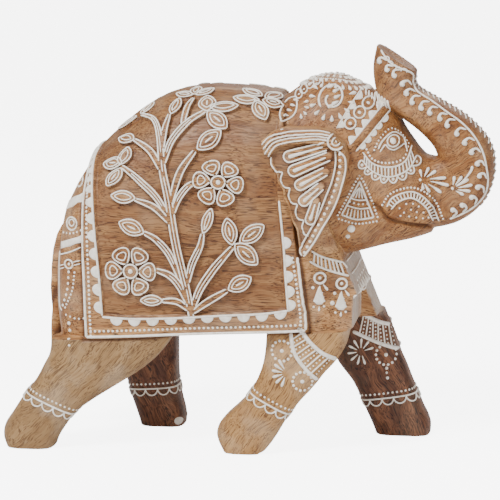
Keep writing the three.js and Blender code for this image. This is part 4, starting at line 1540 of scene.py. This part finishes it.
def fill_mesh(fills):
    """Closed cushions of paint: rings on top, and a ring and a middle below the surface."""
    mesh = bpy.data.meshes.new("fills")
    points, faces, base = [], [], 0
    for place, normal, height, count in fills:
        top = place + normal * height[:, None]
        low = place[-count:] - normal[-count:] * 0.5
        foot = place[:1] - normal[:1] * 0.5
        points += (np.vstack([top, low, foot]) * MM).tolist()
        last = base + len(top) + count
        for k in range(count):
            n = (k + 1) % count
            rings = [base + 1 + ring * count for ring in range(5)]
            faces.append((base, rings[0] + k, rings[0] + n))
            faces += [(a + k, b + k, b + n, a + n) for a, b in zip(rings[:-1], rings[1:])]
            faces.append((rings[4] + k, last, rings[4] + n))
        base = last + 1
    mesh.from_pydata(points, [], faces)
    bm = bmesh.new()
    bm.from_mesh(mesh)
    bmesh.ops.recalc_face_normals(bm, faces=bm.faces)
    bm.to_mesh(mesh)
    bm.free()
    return mesh


BEADS, DOTS = bead_tree(), dot_tree()


def add_paint(brush):
    for kind, things, make in (("beads", brush.lines, bead_mesh), ("dots", brush.dots, dot_mesh),
                               ("fills", brush.fills, fill_mesh)):
        if things:
            add_object(f"paint_{brush.name}_{kind}", make(things), PAINT, "white_paint")


def paint_all():
    body, plain, ears = tree_of(skins[:1]), tree_of(skins[1:2]), tree_of(skins[2:4])
    for name, lay, painter in (("trunk_front", around_line(body, TRUNK_EDGE), paint_trunk_front),
                               ("head_top", from_above(body), paint_head_top),
                               ("chest_front", along_body(body, 90.0, -1), paint_chest_front)):
        brush = Brush(name, lay)
        painter(brush)
        add_paint(brush)
    for leg, crossing in ANKLETS.items():
        lay, girth = round_leg(body, *crossing)
        brush = Brush(f"{leg}_anklet", lay)
        paint_anklet(brush, girth)
        add_paint(brush)
    for side, word in zip(SIDES, ("right", "left")):
        jobs = [
            ("blanket", on_blanket(plain, side), [paint_stems, paint_leaves, paint_flowers, paint_panel_edge,
                                                  paint_blanket_edge]),
            ("hem", from_side(body, side), [paint_hem]),
            ("ear", from_side(ears, side), [paint_ear]),
            ("trunk", from_side(body, side), [paint_trunk, paint_sprays]),
            ("head", from_side(body, side), [paint_eye, paint_headband, paint_cheek]),
            ("crown", from_side(body, side), [paint_crown]),
            ("chest", from_side(body, side), [paint_chest]),
            ("rump", from_side(body, side), [paint_rump]),
        ]
        fore, hind = LEG_PAINTERS[side]
        for face, place in (("outer", from_side), ("inner", from_within)):
            jobs.append((f"fore_leg_{face}", place(body, side), [fore]))
            jobs.append((f"hind_leg_{face}", place(body, side), [hind]))
        for name, lay, painters in jobs:
            brush = Brush(f"{word}_{name}", lay)
            for painter in painters:
                painter(brush)
            add_paint(brush)


paint_all()


# ---- Camera, light and floor -----------------------------------------------------------------
FLOOR_REACH, FLOOR_DROP = 4, 0.0005


def stage():
    """A white floor and a white studio."""
    floor_mesh = bpy.data.meshes.new("floor")
    corners = [(FLOOR_REACH * x, FLOOR_REACH * y, -FLOOR_DROP)
               for x, y in ((-1, -1), (1, -1), (1, 1), (-1, 1))]
    floor_mesh.from_pydata(corners, [], [(0, 1, 2, 3)])
    floor = bpy.data.objects.new("floor", floor_mesh)
    material = bpy.data.materials.new("floor")
    material.use_nodes = True
    shader = material.node_tree.nodes["Principled BSDF"]
    shader.inputs["Base Color"].default_value = (0.9, 0.9, 0.9, 1)
    shader.inputs["Roughness"].default_value = 0.9
    shader.inputs["Emission Color"].default_value = (1, 1, 1, 1)
    t = Tree(material.node_tree)
    seen = t.add("LightPath").outputs["Is Camera Ray"]
    t.put(shader.inputs["Emission Strength"], t.math("MULTIPLY_ADD", seen, 6.0, 0.1))
    floor_mesh.materials.append(material)
    bpy.context.scene.collection.objects.link(floor)
    world = bpy.data.worlds.new("studio")
    world.use_nodes = True
    background = world.node_tree.nodes["Background"]
    background.inputs[0].default_value = (1, 1, 1, 1)
    t = Tree(world.node_tree)
    seen = t.add("LightPath").outputs["Is Camera Ray"]
    t.put(background.inputs[1], t.math("MULTIPLY_ADD", seen, 5.0, 0.46))
    bpy.context.scene.world = world


def lamp(name, place, size, power):
    """A square lamp that shines on the figure."""
    light = bpy.data.lights.new(name, "AREA")
    light.size, light.energy = size, power
    obj = bpy.data.objects.new(name, light)
    obj.location = place
    obj.rotation_euler = (Vector((0, 0, 0.1)) - Vector(place)).to_track_quat("-Z", "Y").to_euler()
    bpy.context.scene.collection.objects.link(obj)


CAMERA_AROUND, CAMERA_UP, CAMERA_DISTANCE = math.radians(8), math.radians(9.5), 1.5
CAMERA_AIM = (0.00188, 0, 0.108)


def camera():
    """The camera, off the figure's right side."""
    around, up = CAMERA_AROUND, CAMERA_UP
    back = Vector((math.sin(around) * math.cos(up), -math.cos(around) * math.cos(up), math.sin(up)))
    data = bpy.data.cameras.new("camera")
    data.lens, data.sensor_width = 196.3, 36
    data.shift_x, data.shift_y = -0.0108, -0.0073
    obj = bpy.data.objects.new("camera", data)
    obj.location = Vector(CAMERA_AIM) + back * CAMERA_DISTANCE
    obj.rotation_euler = back.to_track_quat("Z", "Y").to_euler()
    bpy.context.scene.collection.objects.link(obj)
    bpy.context.scene.camera = obj


stage()
lamp("key", (-0.45, -0.75, 1.1), 0.35, 22)
lamp("fill", (0.9, -0.8, 0.5), 0.8, 4.5)
lamp("back", (0.2, 0.9, 0.9), 0.8, 6)
camera()
